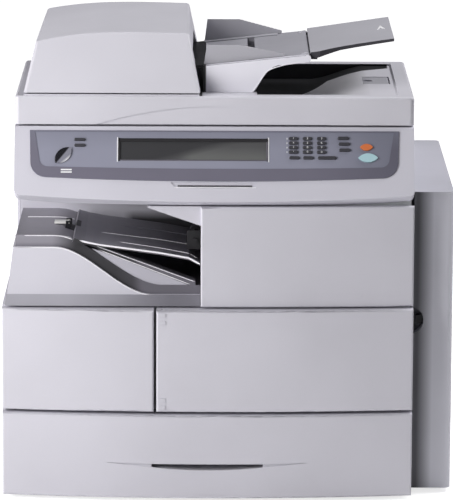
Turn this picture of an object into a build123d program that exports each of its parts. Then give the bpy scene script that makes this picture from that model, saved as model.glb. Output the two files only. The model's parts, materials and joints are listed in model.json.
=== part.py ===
"""A floor-standing office printer with a flatbed scanner and a document feeder on top.

Millimetres, +Z up. X runs to the right seen from the front, Y runs to the back, and the origin
is the centre of the bounding box, on the floor.
"""

import os
from math import sqrt

from build123d import *

os.makedirs("parts", exist_ok=True)

# Whole machine
overall_width = 620.0
side_width = 54.0
side_gap = 2.0
front_corner = -230.0
rear_face = 250.0
rear_wall = 12.0
foot_height = 8.0
foot_radius = 16.0
foot_inset = 45.0

# General walls and clearances
cover_wall = 2.5
side_wall = 4.0
sheet = 3.0
fit = 0.2
running = 0.05
slide_gap = 0.3
edge_round = 2.5

# Frame
frame_setback = 15.0
bay_gap = 0.5
engine_top = 272.0

# Front covers, from the floor up
drawer_low = 8.0
drawer_high = 123.0
middle_low = 127.0
middle_high = 269.0
upper_low = 271.5
split_share = 0.3695
door_gap = 3.6
upper_share = 0.483
front_sag = 16.0
drawer_sag = 20.0
upper_setback = 8.0
upper_sag = 12.0
cheek_reach = 73.0
cheek_drop = 27.0

# Output bin
bin_front = -200.0
bin_rear = 19.0
bin_flare = 10.0

# Scanner
scanner_left_inset = 17.0
scanner_height = 87.5
scanner_front = -182.0
scanner_rear = 205.0
scanner_top = 513.0
scanner_wall = 3.0
top_plate = 6.0
glass_thick = 3.0
platen_length = 356.0
platen_width = 216.0
platen_inset = 88.0
platen_front = -138.0
strip_inset = 31.0
strip_width = 22.0

# Control panel
console_lip_y = -230.0
console_wall = 4.0
inset_thick = 2.5
inset_raise = 1.2
inset_edge = 21.0
inset_top = 6.5
inset_low = 73.5
inset_bow = 6.5
inset_corner = 22.0
panel_edge = 28.0
panel_top = 8.5
panel_low = 62.0
panel_corner = 12.0
key_gap = 0.3
key_rise = 2.6

# Lid and document feeder
lid_rear = 150.0
lid_gap = 3.0
lid_height = 39.0
lid_wall = 3.0
lid_round = 6.0
recess_front = -160.0
recess_rear = 124.0
recess_depth = 22.0
hinge_y = 158.0
hinge_rise = 5.0
hinge_pin = 3.0
hinge_ear = 6.0
hinge_width = 26.0
hinge_inset = 66.0
feeder_inset = 12.0
feeder_width = 241.6
feeder_front = -176.0
feeder_rear = 146.0
feeder_wall = 3.0

# Input tray of the feeder
tray_rise = 40.7
tray_slope = 0.108
tray_end_inset = 26.0
tray_front = -140.0
tray_back = 100.0
tray_thick = 7.0
arm_wall = 7.0

# Side unit
side_front = -187.0
side_rear = 236.0
side_low = 6.5
side_shell = 3.0

# Cassette
cassette_high = 84.0
cassette_back = 28.0
paper_mid = -90.0
cassette_wall = 2.5
cassette_side_gap = 0.5

# Derived places
body_width = overall_width - side_width - side_gap
body_left = -overall_width / 2
body_right = body_left + body_width
middle_split = body_left + split_share * body_width
upper_left = body_left + upper_share * body_width
deck_top = scanner_top - scanner_height
upper_high = deck_top - 14.5
side_high = deck_top - 0.5
scanner_left = body_left + scanner_left_inset
scanner_right = body_right
scanner_half = (scanner_right - scanner_left) / 2
platen_left = scanner_left + platen_inset
strip_left = scanner_left + strip_inset
console_top = scanner_top + 1.0
inset_half = scanner_half - inset_edge
panel_half = scanner_half - panel_edge
lid_left = scanner_left
lid_right = scanner_right
lid_bottom = scanner_top + lid_gap
hinge_z = lid_bottom + hinge_rise
hinge_at = (lid_left + hinge_inset, lid_right - hinge_inset)
feeder_left = lid_left + feeder_inset
feeder_right = feeder_left + feeder_width
tray_left = feeder_right + 8.0
recess_left = tray_left + 6.0
tray_end = lid_right - tray_end_inset
body_mid = (body_left + body_right) / 2
bay_top = drawer_high + bay_gap
cassette_low = foot_height + sheet + slide_gap
side_right = overall_width / 2
frame_front = front_corner + frame_setback
frame_rear = rear_face - rear_wall
frame_left = body_left + side_wall
frame_right = body_right - side_wall
lid_top = lid_bottom + lid_height
tray_zero = lid_top + tray_rise
scanner_mid = (scanner_left + scanner_right) / 2
side_left = body_right + side_gap
door_left = middle_split + door_gap
recess_floor = lid_top - recess_depth
tray_mid = (tray_front + tray_back) / 2


def slab(low, high, mode=Mode.ADD):
    """A box between two opposite corners, in the open part."""
    middle = tuple((a + b) / 2 for a, b in zip(low, high))
    with Locations(middle):
        Box(*(b - a for a, b in zip(low, high)), mode=mode)


def rod(centre, radius, length, axis, mode=Mode.ADD):
    """A cylinder centred on a point, along X, Y or Z, in the open part."""
    turn = {"X": (0, 90, 0), "Y": (90, 0, 0), "Z": (0, 0, 0)}[axis]
    with Locations(Location(centre, turn)):
        Cylinder(radius, length, mode=mode)


def save(piece, name):
    """Labels a finished piece and writes its file."""
    piece.label = name
    export_step(piece, f"parts/{name}.step")


def bulge(x, corner, sag):
    """Y of a front face that bows forward by sag between the two body corners."""
    half = body_width / 2
    radius = (half**2 + sag**2) / (2 * sag)
    return corner - sag + radius - sqrt(radius**2 - (x - body_mid) ** 2)


def plan(x0, x1, corner, sag, back):
    """Plan outline of a front cover: bowed at the front, square at the back."""
    left = (x0, bulge(x0, corner, sag))
    middle = ((x0 + x1) / 2, bulge((x0 + x1) / 2, corner, sag))
    right = (x1, bulge(x1, corner, sag))
    with BuildSketch() as outline:
        with BuildLine():
            ThreePointArc(left, middle, right)
            Polyline(right, (x1, back), (x0, back), left)
        make_face()
    return outline.sketch


def front_cover(x0, x1, z0, z1, corner, sag, back):
    """A bowed front cover as a moulded shell, open at the back, its front edges rounded."""
    with BuildPart() as cover:
        with BuildSketch(Plane.XY.offset(z0)):
            add(plan(x0, x1, corner, sag, back))
        extrude(amount=z1 - z0)
        fillet(cover.faces().sort_by(Axis.Y)[0].edges(), edge_round)
        with BuildSketch(Plane.XY.offset(z0 + cover_wall)):
            add(plan(x0 + cover_wall, x1 - cover_wall, corner + cover_wall, sag, back))
        extrude(amount=z1 - z0 - 2 * cover_wall, mode=Mode.SUBTRACT)
    return cover.part


# Main frame: cassette bay below, engine bay above, with the lugs that carry the rollers and door
roller_x = frame_right - 55.0
roller_z = bay_top - 16.5
roller_shaft = 4.0
roller_lug = 4.0
roller_half = 96.0
toner_left = frame_right - 240.0
toner_right = frame_right - 80.0
toner_high = engine_top - 57.0
toner_rear = 90.0
path_front = -160.0
path_rear = 160.0
path_low = bay_top + 16.5
path_high = deck_top - 26.5
path_edge = 12.0
pivot_inset = 8.0
pivot_pin = 2.0
lug_height = 5.0
lug_low = middle_low + 9.0
lug_high = middle_high - 14.0
lug_half = 4.5
switch_y = 170.0
switch_z = 160.0

side_lugs = (side_low + 52.0, side_high - 51.0)
side_pivot_x = side_left + 7.0
side_pivot_y = side_rear - 8.0
side_lug_half = 3.5
upper_left_side = body_left + 18.5
exit_x = upper_left - 0.4
exit_low = engine_top + 60.0
exit_high = engine_top + 94.0

door_pivot_x = door_left + pivot_inset
door_pivot_y = bulge(door_pivot_x, front_corner, front_sag) + pivot_inset

upper_wall = exit_x + sheet
window_low = bay_top + 20.0
window_high = engine_top - 20.0

with BuildPart() as main_frame:
    slab((frame_left, frame_front, foot_height), (frame_right, frame_rear, engine_top))
    slab(
        (frame_left + sheet, frame_front - 1, foot_height + sheet),
        (frame_right - sheet, frame_rear - sheet, bay_top),
        Mode.SUBTRACT,
    )
    slab(
        (frame_left + sheet, frame_front + sheet, bay_top + sheet),
        (middle_split - sheet, frame_rear - sheet, engine_top - sheet),
        Mode.SUBTRACT,
    )
    slab(
        (middle_split, frame_front + sheet, bay_top + sheet),
        (frame_right - sheet, frame_rear - sheet, engine_top - sheet),
        Mode.SUBTRACT,
    )
    slab(
        (toner_left - fit, frame_front - 1, bay_top + sheet),
        (toner_right + fit, frame_front + sheet + 1, toner_high + fit),
        Mode.SUBTRACT,
    )
    slab(
        (frame_left + 40, frame_front - 1, window_low),
        (middle_split - 30, frame_front + sheet + 1, window_high),
        Mode.SUBTRACT,
    )
    slab(
        (frame_right - sheet - 1, path_front, path_low),
        (frame_right + 1, path_rear, engine_top - path_edge),
        Mode.SUBTRACT,
    )
    slab((upper_wall, frame_front, engine_top), (frame_right, frame_rear, deck_top))
    slab((upper_left_side, bin_rear + sheet, engine_top), (upper_wall, frame_rear, deck_top))
    slab(
        (upper_wall + sheet, frame_front + sheet, engine_top),
        (frame_right - sheet, frame_rear - sheet, deck_top - sheet),
        Mode.SUBTRACT,
    )
    slab(
        (upper_left_side + sheet, bin_rear + 2 * sheet, engine_top),
        (upper_wall + sheet, frame_rear - sheet, deck_top - sheet),
        Mode.SUBTRACT,
    )
    slab(
        (frame_right - sheet - 1, path_front, engine_top + path_edge),
        (frame_right + 1, path_rear, path_high),
        Mode.SUBTRACT,
    )
    slab(
        (upper_wall - 1, bin_front + 8, exit_low),
        (upper_wall + sheet + 1, bin_rear - 8, exit_high),
        Mode.SUBTRACT,
    )
    for side in (-1, 1):
        lug_y = paper_mid + side * roller_half
        slab(
            (roller_x - 8, lug_y - roller_lug / 2, roller_z - 8),
            (roller_x + 8, lug_y + roller_lug / 2, bay_top),
        )
    rod((roller_x, paper_mid, roller_z), roller_shaft + running, 2.2 * roller_half, "Y", Mode.SUBTRACT)
    for lug_z in (lug_low, lug_high):
        slab(
            (door_pivot_x - lug_half, door_pivot_y, lug_z),
            (door_pivot_x + lug_half, frame_front, lug_z + lug_height),
        )
        rod((door_pivot_x, door_pivot_y, lug_z + lug_height / 2), lug_half, lug_height, "Z")
        rod((door_pivot_x, door_pivot_y, lug_z + lug_height / 2), pivot_pin, 2.6 * lug_height, "Z")
    slab(
        (frame_left - 1, switch_y - 15, switch_z - 20),
        (frame_left + sheet + 1, switch_y + 15, switch_z + 20),
        Mode.SUBTRACT,
    )
    for lug_z in side_lugs:
        slab(
            (frame_right - sheet, side_pivot_y - side_lug_half, lug_z - lug_height / 2),
            (side_pivot_x, side_pivot_y + side_lug_half, lug_z + lug_height / 2),
        )
        rod((side_pivot_x, side_pivot_y, lug_z), side_lug_half, lug_height, "Z")
        rod((side_pivot_x, side_pivot_y, lug_z), pivot_pin, 2.6 * lug_height, "Z")
save(main_frame.part, "main_frame")

with BuildPart() as feet:
    with BuildSketch():
        for x in (frame_left + foot_inset, frame_right - foot_inset):
            for y in (frame_front + foot_inset, frame_rear - foot_inset):
                with Locations((x, y)):
                    Circle(foot_radius)
    extrude(amount=foot_height)
    chamfer(feet.edges().group_by(Axis.Z)[0], 1.5)
save(feet.part, "rubber_feet")

# Outer covers of the body
vent_width = 26.0
vent_height = 3.0
vent_pitch = 8.0
vent_low = deck_top - 81.5
vent_columns = (body_right - 164.0, body_right - 124.0, body_right - 84.0)
inlet_x = body_left + 120.0
screw_columns = (body_left + 22, body_mid, body_right - 22)
screw_rows = (drawer_low + 16, engine_top - 52, deck_top - 19.5)
screw_head = 3.8
screw_shank = 1.9
inlet_z = 60.0
inlet_width = 27.4
inlet_height = 19.8
switch_width = 20.0
switch_height = 28.0

with BuildPart() as rear_cover:
    slab((body_left, frame_rear, drawer_low), (body_right, rear_face, deck_top))
    fillet(rear_cover.edges().filter_by(Axis.Z).group_by(Axis.Y)[-1], 5)
    slab(
        (body_left + side_wall, frame_rear - 1, drawer_low + side_wall),
        (body_right - side_wall, rear_face - sheet, deck_top - side_wall),
        Mode.SUBTRACT,
    )
    with Locations(*[(x, rear_face, vent_low + row * vent_pitch) for x in vent_columns for row in range(6)]):
        Box(vent_width, 4 * sheet, vent_height, mode=Mode.SUBTRACT)
    with Locations((inlet_x, rear_face, inlet_z)):
        Box(inlet_width + 2 * fit, 4 * sheet, inlet_height + 2 * fit, mode=Mode.SUBTRACT)
    for x in screw_columns:
        for z in screw_rows:
            rod((x, rear_face, z), screw_head + fit, 3.4, "Y", Mode.SUBTRACT)
            rod((x, rear_face, z), screw_shank + fit, 16, "Y", Mode.SUBTRACT)
save(rear_cover.part, "rear_cover")

with BuildPart() as left_cover:
    slab((body_left, frame_front + fit, drawer_low), (frame_left, frame_rear, engine_top - 1))
    with Locations(*[(frame_left, y, 60 + row * vent_pitch) for y in (110, 150, 190) for row in range(6)]):
        Box(4 * sheet, vent_width, vent_height, mode=Mode.SUBTRACT)
    with Locations((frame_left, switch_y, switch_z)):
        Box(4 * sheet, switch_width + 2 * fit, switch_height + 2, mode=Mode.SUBTRACT)
save(left_cover.part, "left_cover")

left_front = front_cover(
    body_left, middle_split, middle_low, middle_high, front_corner, front_sag, frame_front
)
save(left_front, "left_front_cover")

# Front door of the engine, turning about an upright pin at its left edge
flange_swing = 19.5
pivot_slot = 16.0

with BuildPart() as front_door:
    with BuildSketch(Plane.XY.offset(middle_low)):
        add(plan(door_left, body_right, front_corner, front_sag, frame_front - slide_gap))
    extrude(amount=middle_high - middle_low)
    fillet(front_door.faces().sort_by(Axis.Y)[0].edges(), edge_round)
    with BuildSketch(Plane.XY.offset(middle_low + cover_wall)):
        add(
            plan(
                door_left + cover_wall,
                body_right - cover_wall,
                front_corner + cover_wall,
                front_sag,
                frame_front,
            )
        )
    extrude(amount=middle_high - middle_low - 2 * cover_wall, mode=Mode.SUBTRACT)
    fillet(front_door.edges().filter_by(Axis.Z).group_by(Axis.X)[0], 1)
    for lug_z in (lug_low, lug_high):
        middle = lug_z + lug_height / 2
        for side in (-1, 1):
            with Locations((door_pivot_x, door_pivot_y, middle + side * (lug_height + slide_gap))):
                Cylinder(lug_half, lug_height)
                Box(2 * lug_half, 2 * lug_half, lug_height, align=(Align.CENTER, Align.MAX, Align.CENTER))
        rod((door_pivot_x, door_pivot_y, middle), pivot_pin + running, 5 * lug_height, "Z", Mode.SUBTRACT)
        slab(
            (door_left - 1, door_pivot_y - lug_half - 1, lug_z - slide_gap),
            (door_left + pivot_slot, frame_front, lug_z + lug_height + slide_gap),
            Mode.SUBTRACT,
        )
    slab(
        (door_left - 1, door_pivot_y + flange_swing, middle_low - 1),
        (door_pivot_x, frame_front + 1, middle_high + 1),
        Mode.SUBTRACT,
    )
save(front_door.part, "front_door")

with BuildPart() as upper_front:
    add(
        front_cover(
            upper_left, body_right, upper_low, upper_high,
            front_corner + upper_setback, upper_sag, frame_front,
        )
    )
    with BuildSketch(Plane.XZ.offset(-frame_front)):
        with BuildLine():
            Polyline(
                (upper_left, upper_high),
                (upper_left - cheek_reach, upper_high),
                (upper_left - cheek_reach, upper_high - 2),
                (upper_left, upper_high - cheek_drop),
                close=True,
            )
        make_face()
    extrude(amount=12)
save(upper_front.part, "upper_front_cover")

# Output bin: the light front wall sweeps down to the right, the dark tray follows it
bin_lip_top = engine_top + 92.0
bin_low = engine_top + 25.5
bin_top = engine_top + 79.0
bin_floor = 2.0


def across(share):
    """A place across the body, as a share of its width from the left."""
    return body_left + share * body_width


wall_fall = (across(0.127), across(0.366))
tray_fall_line = (across(0.122), across(0.39))
ledge_back = -212.0
ledge_top = engine_top + 13.0
bin_wall = 3.0


def sweep_line(x0, fall, high, low, x1):
    """A level line that falls in an even double curve between two places."""
    first = (fall[1] - fall[0]) / 3
    Line((x0, high), (fall[0], high))
    Bezier((fall[0], high), (fall[0] + first, high), (fall[1] - first, low), (fall[1], low))
    Line((fall[1], low), (x1, low))


bin_left_low = body_left + 5
bin_left_high = bin_left_low + bin_flare
with BuildPart() as bin_front_cover:
    with BuildSketch(Plane.XZ.offset(-ledge_back)):
        with BuildLine():
            sweep_line(bin_left_high, wall_fall, bin_top, ledge_top, upper_left - 1)
            Polyline(
                (upper_left - 1, ledge_top),
                (upper_left - 1, engine_top),
                (bin_left_low, engine_top),
                (bin_left_high, bin_top),
            )
        make_face()
    extrude(amount=-4)
    with BuildSketch(Plane.YZ.offset(bin_left_low)):
        with BuildLine():
            Polyline(
                (front_corner + 2, engine_top),
                (ledge_back, ledge_top),
                (ledge_back, engine_top),
                close=True,
            )
        make_face()
    extrude(amount=upper_left - 1 - bin_left_low)
    with BuildSketch(Plane.XZ.offset(-ledge_back)):
        with BuildLine():
            Polyline(
                (bin_left_low, engine_top),
                (bin_left_high, bin_top),
                (bin_left_high, deck_top),
                (bin_left_high + bin_wall, deck_top),
                (bin_left_high + bin_wall, bin_top),
                (bin_left_low + bin_wall, engine_top),
                close=True,
            )
        make_face()
    extrude(amount=-(frame_rear - ledge_back))
    slab(
        (bin_left_low - 1, ledge_back - 1, bin_top),
        (bin_left_high + bin_wall + 1, bin_rear, deck_top + 1),
        Mode.SUBTRACT,
    )
save(bin_front_cover.part, "bin_front_cover")

tray_front_face = ledge_back + 4 + fit
bin_x0 = bin_left_high + bin_wall + fit
stopper_x = bin_x0 + 69.8
with BuildPart() as output_bin:
    with BuildSketch(Plane.XZ.offset(-tray_front_face)):
        with BuildLine():
            sweep_line(bin_x0, tray_fall_line, bin_lip_top + 3, bin_low, exit_x - fit)
            Polyline((exit_x - fit, bin_low), (exit_x - fit, engine_top), (bin_x0, engine_top))
            Line((bin_x0, engine_top), (bin_x0, bin_lip_top + 3))
        make_face()
    extrude(amount=-(bin_rear - tray_front_face))
    with BuildSketch(Plane.XZ.offset(-tray_front_face - 1)):
        with BuildLine():
            sweep_line(bin_x0, tray_fall_line, bin_lip_top + 4, bin_low + 1, exit_x)
            Polyline((exit_x, bin_low + 1), (exit_x, bin_low - 5), (tray_fall_line[1], bin_low - 5))
            first = (tray_fall_line[1] - tray_fall_line[0]) / 3
            Bezier(
                (tray_fall_line[1], bin_low - 5),
                (tray_fall_line[1] - first, bin_low - 5),
                (tray_fall_line[0] + first, bin_lip_top - bin_floor),
                (tray_fall_line[0], bin_lip_top - bin_floor),
            )
            Line((tray_fall_line[0], bin_lip_top - bin_floor), (bin_x0, bin_lip_top - bin_floor))
            Line((bin_x0, bin_lip_top - bin_floor), (bin_x0, bin_lip_top + 4))
        make_face()
    extrude(amount=-(bin_rear - tray_front_face), mode=Mode.SUBTRACT)
    with BuildSketch(Plane.XZ.offset(-tray_front_face - 3)):
        with BuildLine():
            Polyline(
                (bin_x0 + 3, engine_top - 1),
                (bin_x0 + 3, bin_lip_top - 5),
                (across(0.133), bin_lip_top - 5),
                (across(0.186), bin_lip_top - 20),
                (across(0.284), engine_top + 27),
                (across(0.372), engine_top + 17),
                (exit_x - 5, engine_top + 17),
                (exit_x - 5, engine_top - 1),
                close=True,
            )
        make_face()
    extrude(amount=-(bin_rear - tray_front_face - 6), mode=Mode.SUBTRACT)
    with BuildSketch(Plane.XZ.offset(-tray_front_face - 3 + 10)):
        with BuildLine():
            Polyline(
                (across(0.170), bin_lip_top - 6),
                (across(0.1755), bin_lip_top),
                (across(0.2004), bin_lip_top - 4),
                (across(0.2358), bin_lip_top - 8),
                (across(0.383), bin_lip_top - 19),
                (across(0.454), bin_lip_top - 26),
                (exit_x - fit, bin_lip_top - 35),
                (exit_x - fit, bin_lip_top - 38),
                (across(0.454), bin_lip_top - 30),
                (across(0.383), bin_lip_top - 23),
                (across(0.2358), bin_lip_top - 12),
                (across(0.2004), bin_lip_top - 9),
                close=True,
            )
        make_face()
    extrude(amount=-(bin_rear - tray_front_face - 13))
    with BuildSketch(Plane.XZ.offset(-tray_front_face)):
        with BuildLine():
            Polyline(
                (across(0.213), bin_lip_top - 8),
                (exit_x - 7, bin_low + 5.5),
                (exit_x - 7, bin_low - 0.5),
                (exit_x - 14, bin_low - 0.5),
                (across(0.213), bin_lip_top - 11.5),
                close=True,
            )
        make_face()
    extrude(amount=-20)
    for y in (-110.5, -89.5):
        slab((stopper_x - 4, y - 2, bin_lip_top - 5), (stopper_x + 4, y + 2, bin_lip_top + 4))
    rod((stopper_x, -100, bin_lip_top + 1), 1.2 + running, 40, "Y", Mode.SUBTRACT)
save(output_bin.part, "output_bin")

with BuildPart() as exit_housing:
    slab((exit_x, bin_front - 4, engine_top), (exit_x + sheet, bin_rear, deck_top))
    slab(
        (exit_x - 1, bin_front + 8, exit_low),
        (exit_x + sheet + 1, bin_rear - 8, exit_high),
        Mode.SUBTRACT,
    )
    for y in (bin_front + 14, bin_rear - 14):
        slab((exit_x + sheet - 22, y - 2, exit_high - 22), (exit_x + sheet, y + 2, exit_high + 4))
    rod((exit_x - 8, paper_mid, exit_high - 9), 3 + running, 230, "Y", Mode.SUBTRACT)
save(exit_housing.part, "exit_housing")

with BuildPart() as exit_roller:
    rod((exit_x - 8, paper_mid, exit_high - 9), 3, 206, "Y")
    for y in (-70, -25, 25, 70):
        rod((exit_x - 8, paper_mid + y, exit_high - 9), 7, 16, "Y")
save(exit_roller.part, "exit_roller")

with BuildPart() as bin_back_cover:
    slab((bin_left_high + bin_wall + fit, bin_rear, engine_top), (exit_x + sheet, bin_rear + sheet, deck_top))
save(bin_back_cover.part, "bin_back_cover")

# Scanner: a tub, a top plate round the two glasses, and the carriage on its rail
rail_z = deck_top + 26.0
rail_y = -30.0
rail_radius = 4.0
platen_right = platen_left + platen_length
platen_rear = platen_front + platen_width
tub_top = scanner_top - top_plate
tub_front = scanner_front + 4.0

with BuildPart() as scanner_base:
    slab((scanner_left + 2, tub_front, deck_top), (scanner_right - 2, scanner_rear, tub_top))
    fillet(scanner_base.edges().filter_by(Axis.Z).group_by(Axis.Y)[-1], 6)
    slab(
        (scanner_left + 2 + scanner_wall, tub_front + scanner_wall, deck_top + scanner_wall),
        (scanner_right - 2 - scanner_wall, scanner_rear - scanner_wall, tub_top + 1),
        Mode.SUBTRACT,
    )
save(scanner_base.part, "scanner_base")

with BuildPart() as scanner_bezel:
    slab((scanner_left, tub_front, tub_top), (scanner_right, scanner_rear, scanner_top))
    fillet(scanner_bezel.edges().filter_by(Axis.Z).group_by(Axis.Y)[-1], 6)
    for x0, x1 in ((platen_left, platen_right), (strip_left, strip_left + strip_width)):
        slab(
            (x0 - fit, platen_front - fit, scanner_top - glass_thick),
            (x1 + fit, platen_rear + fit, scanner_top + 1),
            Mode.SUBTRACT,
        )
        slab(
            (x0 + 4, platen_front + 4, tub_top - 1),
            (x1 - 4, platen_rear - 4, scanner_top),
            Mode.SUBTRACT,
        )
save(scanner_bezel.part, "scanner_bezel")

with BuildPart() as platen_glass:
    for x0, x1 in ((platen_left, platen_right), (strip_left, strip_left + strip_width)):
        slab((x0, platen_front, scanner_top - glass_thick), (x1, platen_rear, scanner_top))
save(platen_glass.part, "platen_glass")

with BuildPart() as carriage_rail:
    rod(
        (scanner_mid, rail_y, rail_z),
        rail_radius,
        scanner_right - scanner_left - 4 - 2 * scanner_wall,
        "X",
    )
save(carriage_rail.part, "carriage_rail")

with BuildPart() as scan_carriage:
    slab((strip_left - 4, platen_front + 2, rail_z - 12), (strip_left + 42, platen_rear - 2, tub_top - 4))
    slab(
        (strip_left, platen_front + 6, rail_z + 14),
        (strip_left + 38, platen_rear - 6, tub_top),
        Mode.SUBTRACT,
    )
    rod((strip_left, rail_y, rail_z), rail_radius + running, 200, "X", Mode.SUBTRACT)
save(scan_carriage.part, "scan_carriage")

# Control panel: a slanted housing, a raised panel, the display and the keys
face_run = 50.0
face_drop = 86.3
face_plane = Plane(
    origin=(scanner_mid, scanner_front, console_top),
    x_dir=(1, 0, 0),
    z_dir=(0, -face_drop, face_run),
)
console_side = 100.0
console_middle = 110.0
console_depth = 48.0
window_edge = 3.5
seat = inset_thick - inset_raise
notch_left = -59.5
notch_right = 58.5
notch_top = 81.5
notch_low = 89.0


def panel_outline(half, top, low, bow, corner, taper):
    """A panel that narrows a little downwards, with a bowed lower edge and rounded lower corners."""
    with BuildSketch() as outline:
        with BuildLine():
            Line((-half, -top), (half, -top))
            Line((half, -top), (half - taper, -low))
            ThreePointArc((half - taper, -low), (0, -low - bow), (-half + taper, -low))
            Line((-half + taper, -low), (-half, -top))
        make_face()
        fillet(outline.vertices().group_by(Axis.Y)[0], corner)
    return outline.sketch


with BuildPart() as console_housing:
    with BuildSketch(face_plane):
        add(panel_outline(scanner_half, 0, console_side, console_middle - console_side, 8, 0.5))
    extrude(amount=-console_depth)
    with BuildSketch(face_plane.offset(-console_wall)):
        add(
            panel_outline(
                scanner_half - console_wall,
                -10,
                console_side - console_wall,
                console_middle - console_side,
                6,
                0.5,
            )
        )
    extrude(amount=-console_depth, mode=Mode.SUBTRACT)
    slab(
        (scanner_left - 1, tub_front, deck_top - 60),
        (scanner_right + 1, tub_front + 100, console_top + 60),
        Mode.SUBTRACT,
    )
    slab(
        (scanner_left - 1, console_lip_y - 60, console_top - 0.5),
        (scanner_right + 1, tub_front + 100, console_top + 60),
        Mode.SUBTRACT,
    )
    slab(
        (scanner_left - 1, console_lip_y - 60, deck_top - 100),
        (scanner_right + 1, tub_front + 100, upper_high + 2),
        Mode.SUBTRACT,
    )
    slab(
        (scanner_left - 1, frame_front - 1, deck_top - 100),
        (scanner_right + 1, tub_front + 100, deck_top),
        Mode.SUBTRACT,
    )
    slab(
        (scanner_left, scanner_front, console_top - 8),
        (scanner_right, tub_front, console_top - 0.5),
    )
    with BuildSketch(face_plane.offset(-seat)):
        add(panel_outline(inset_half + fit, inset_top - fit, inset_low + fit, inset_bow, inset_corner, 2))
    extrude(amount=5, mode=Mode.SUBTRACT)
    with BuildSketch(face_plane):
        add(
            panel_outline(
                panel_half - window_edge,
                panel_top + window_edge,
                panel_low - window_edge,
                2,
                panel_corner,
                8,
            )
        )
    extrude(amount=-2 * console_wall, mode=Mode.SUBTRACT)

    with BuildSketch(face_plane.offset(-1.2)):
        with BuildLine():
            Polyline((notch_left, -notch_top), (notch_right, -notch_top), (notch_right - 6, -notch_low))
            ThreePointArc(
                (notch_right - 6, -notch_low),
                ((notch_left + notch_right) / 2, -notch_low - 1),
                (notch_left + 6, -notch_low),
            )
            Line((notch_left + 6, -notch_low), (notch_left, -notch_top))
        make_face()
    extrude(amount=5, mode=Mode.SUBTRACT)

# Keys: centre across, distance down the slope, width, height
key_columns = (panel_half - 137.5, panel_half - 118.4, panel_half - 99.1)
key_rows = (17.7, 24.2, 30.7, 37.3)
key_width = 12.5
key_height = 4.7
screen_left = -panel_half + 116.0
screen_right = panel_half - 174.0
screen_top = 19.4
screen_low = 49.0
number_names = ("1", "2", "3", "4", "5", "6", "7", "8", "9", "star", "0", "hash")
small_keys = (
    (panel_half - 136.0, 45.6, 14.0, 4.3),
    (panel_half - 117.0, 45.6, 14.0, 4.3),
    (panel_half - 91.5, 45.6, 25.0, 4.3),
    (panel_half - 69.4, 17.0, 15.0, 4.3),
    (panel_half - 68.0, 25.4, 15.0, 4.3),
    (panel_half - 67.3, 34.2, 15.0, 4.3),
    (-panel_half + 61.5, 20.0, 15.0, 4.0),
    (-panel_half + 61.5, 28.4, 15.0, 4.0),
)
stop_place = (panel_half - 37.6, 30.0)
start_place = (panel_half - 35.5, 45.5)
menu_place = (-panel_half + 39.0, 43.0)


def almond(width, height):
    """A pointed oval."""
    with BuildSketch() as shape:
        with BuildLine():
            ThreePointArc((-width / 2, 0), (0, height / 2), (width / 2, 0))
            ThreePointArc((width / 2, 0), (0, -height / 2), (-width / 2, 0))
        make_face()
    return shape.sketch


def leaf(width, height):
    """A leaf with its point at the upper right."""
    with BuildSketch() as shape:
        with BuildLine():
            ThreePointArc(
                (width / 2, height / 2), (-width * 0.2, height * 0.36), (-width / 2, -height / 2)
            )
            ThreePointArc(
                (-width / 2, -height / 2), (width * 0.28, -height * 0.3), (width / 2, height / 2)
            )
        make_face()
        fillet(shape.vertices(), 1.5)
    return shape.sketch


with BuildSketch() as start_shape:
    add(almond(27, 13))
with BuildSketch() as stop_shape:
    add(almond(17.5, 9.6))
with BuildSketch() as menu_shape:
    add(leaf(21.7, 21.7))


def cap(place, width, height):
    """A rounded key cap outline at a place on the panel."""
    with BuildSketch() as shape:
        with Locations((place[0], -place[1])):
            RectangleRounded(width, height, min(width, height) * 0.42)
    return shape.sketch


def moved(shape, place):
    """A key outline moved to its place on the panel."""
    return shape.sketch.moved(Location((place[0], -place[1], 0)))


def grown(outline, amount):
    """The same outline, wider by an amount all round."""
    with BuildSketch() as shape:
        offset(outline, amount=amount, kind=Kind.ARC)
    return shape.sketch


def key_part(outline):
    """A key: a cap that stands proud, and a wider flange that waits behind the panel."""
    with BuildPart() as body:
        with BuildSketch(face_plane.offset(-seat - slide_gap - 1.2)):
            add(outline)
        extrude(amount=seat + slide_gap + 1.2 + key_rise)
        fillet(body.faces().sort_by(face_axis)[-1].edges(), 0.5)
        with BuildSketch(face_plane.offset(-seat - slide_gap - 1.2)):
            add(grown(outline, 0.8))
        extrude(amount=1.2)
    return body.part


face_axis = Axis((0, 0, 0), (0, -face_drop, face_run))
number_places = [(x, v) for v in key_rows for x in key_columns]
number_caps = [cap(place, key_width, key_height) for place in number_places]
small_caps = [cap(place[:2], place[2], place[3]) for place in small_keys]
start_cap = moved(start_shape, start_place)
stop_cap = moved(stop_shape, stop_place)
menu_cap = moved(menu_shape, menu_place)
all_caps = number_caps + small_caps + [start_cap, stop_cap, menu_cap]

with BuildPart() as console_panel:
    with BuildSketch(face_plane.offset(-seat)):
        add(panel_outline(inset_half, inset_top, inset_low, inset_bow, inset_corner, 2))
    extrude(amount=inset_thick)
    with BuildSketch(face_plane.offset(inset_raise - 0.5)):
        add(panel_outline(panel_half, panel_top, panel_low - 3, 3, panel_corner, 8))
    extrude(amount=5, mode=Mode.SUBTRACT)
    with BuildSketch(face_plane.offset(-seat)):
        with Locations(((screen_left + screen_right) / 2, -(screen_top + screen_low) / 2)):
            Rectangle(screen_right - screen_left + 2 * fit, screen_low - screen_top + 2 * fit)
        for outline in all_caps:
            add(grown(outline, key_gap))
    extrude(amount=3 * inset_thick, mode=Mode.SUBTRACT)
save(console_panel.part, "console_panel")

for name, outline in zip(number_names, number_caps):
    save(key_part(outline), f"key_{name}")
save(key_part(start_cap), "start_key")
save(key_part(stop_cap), "stop_key")
save(key_part(menu_cap), "menu_key")

with BuildPart() as function_keys:
    for outline in small_caps:
        add(key_part(outline))
save(function_keys.part, "function_keys")

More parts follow.
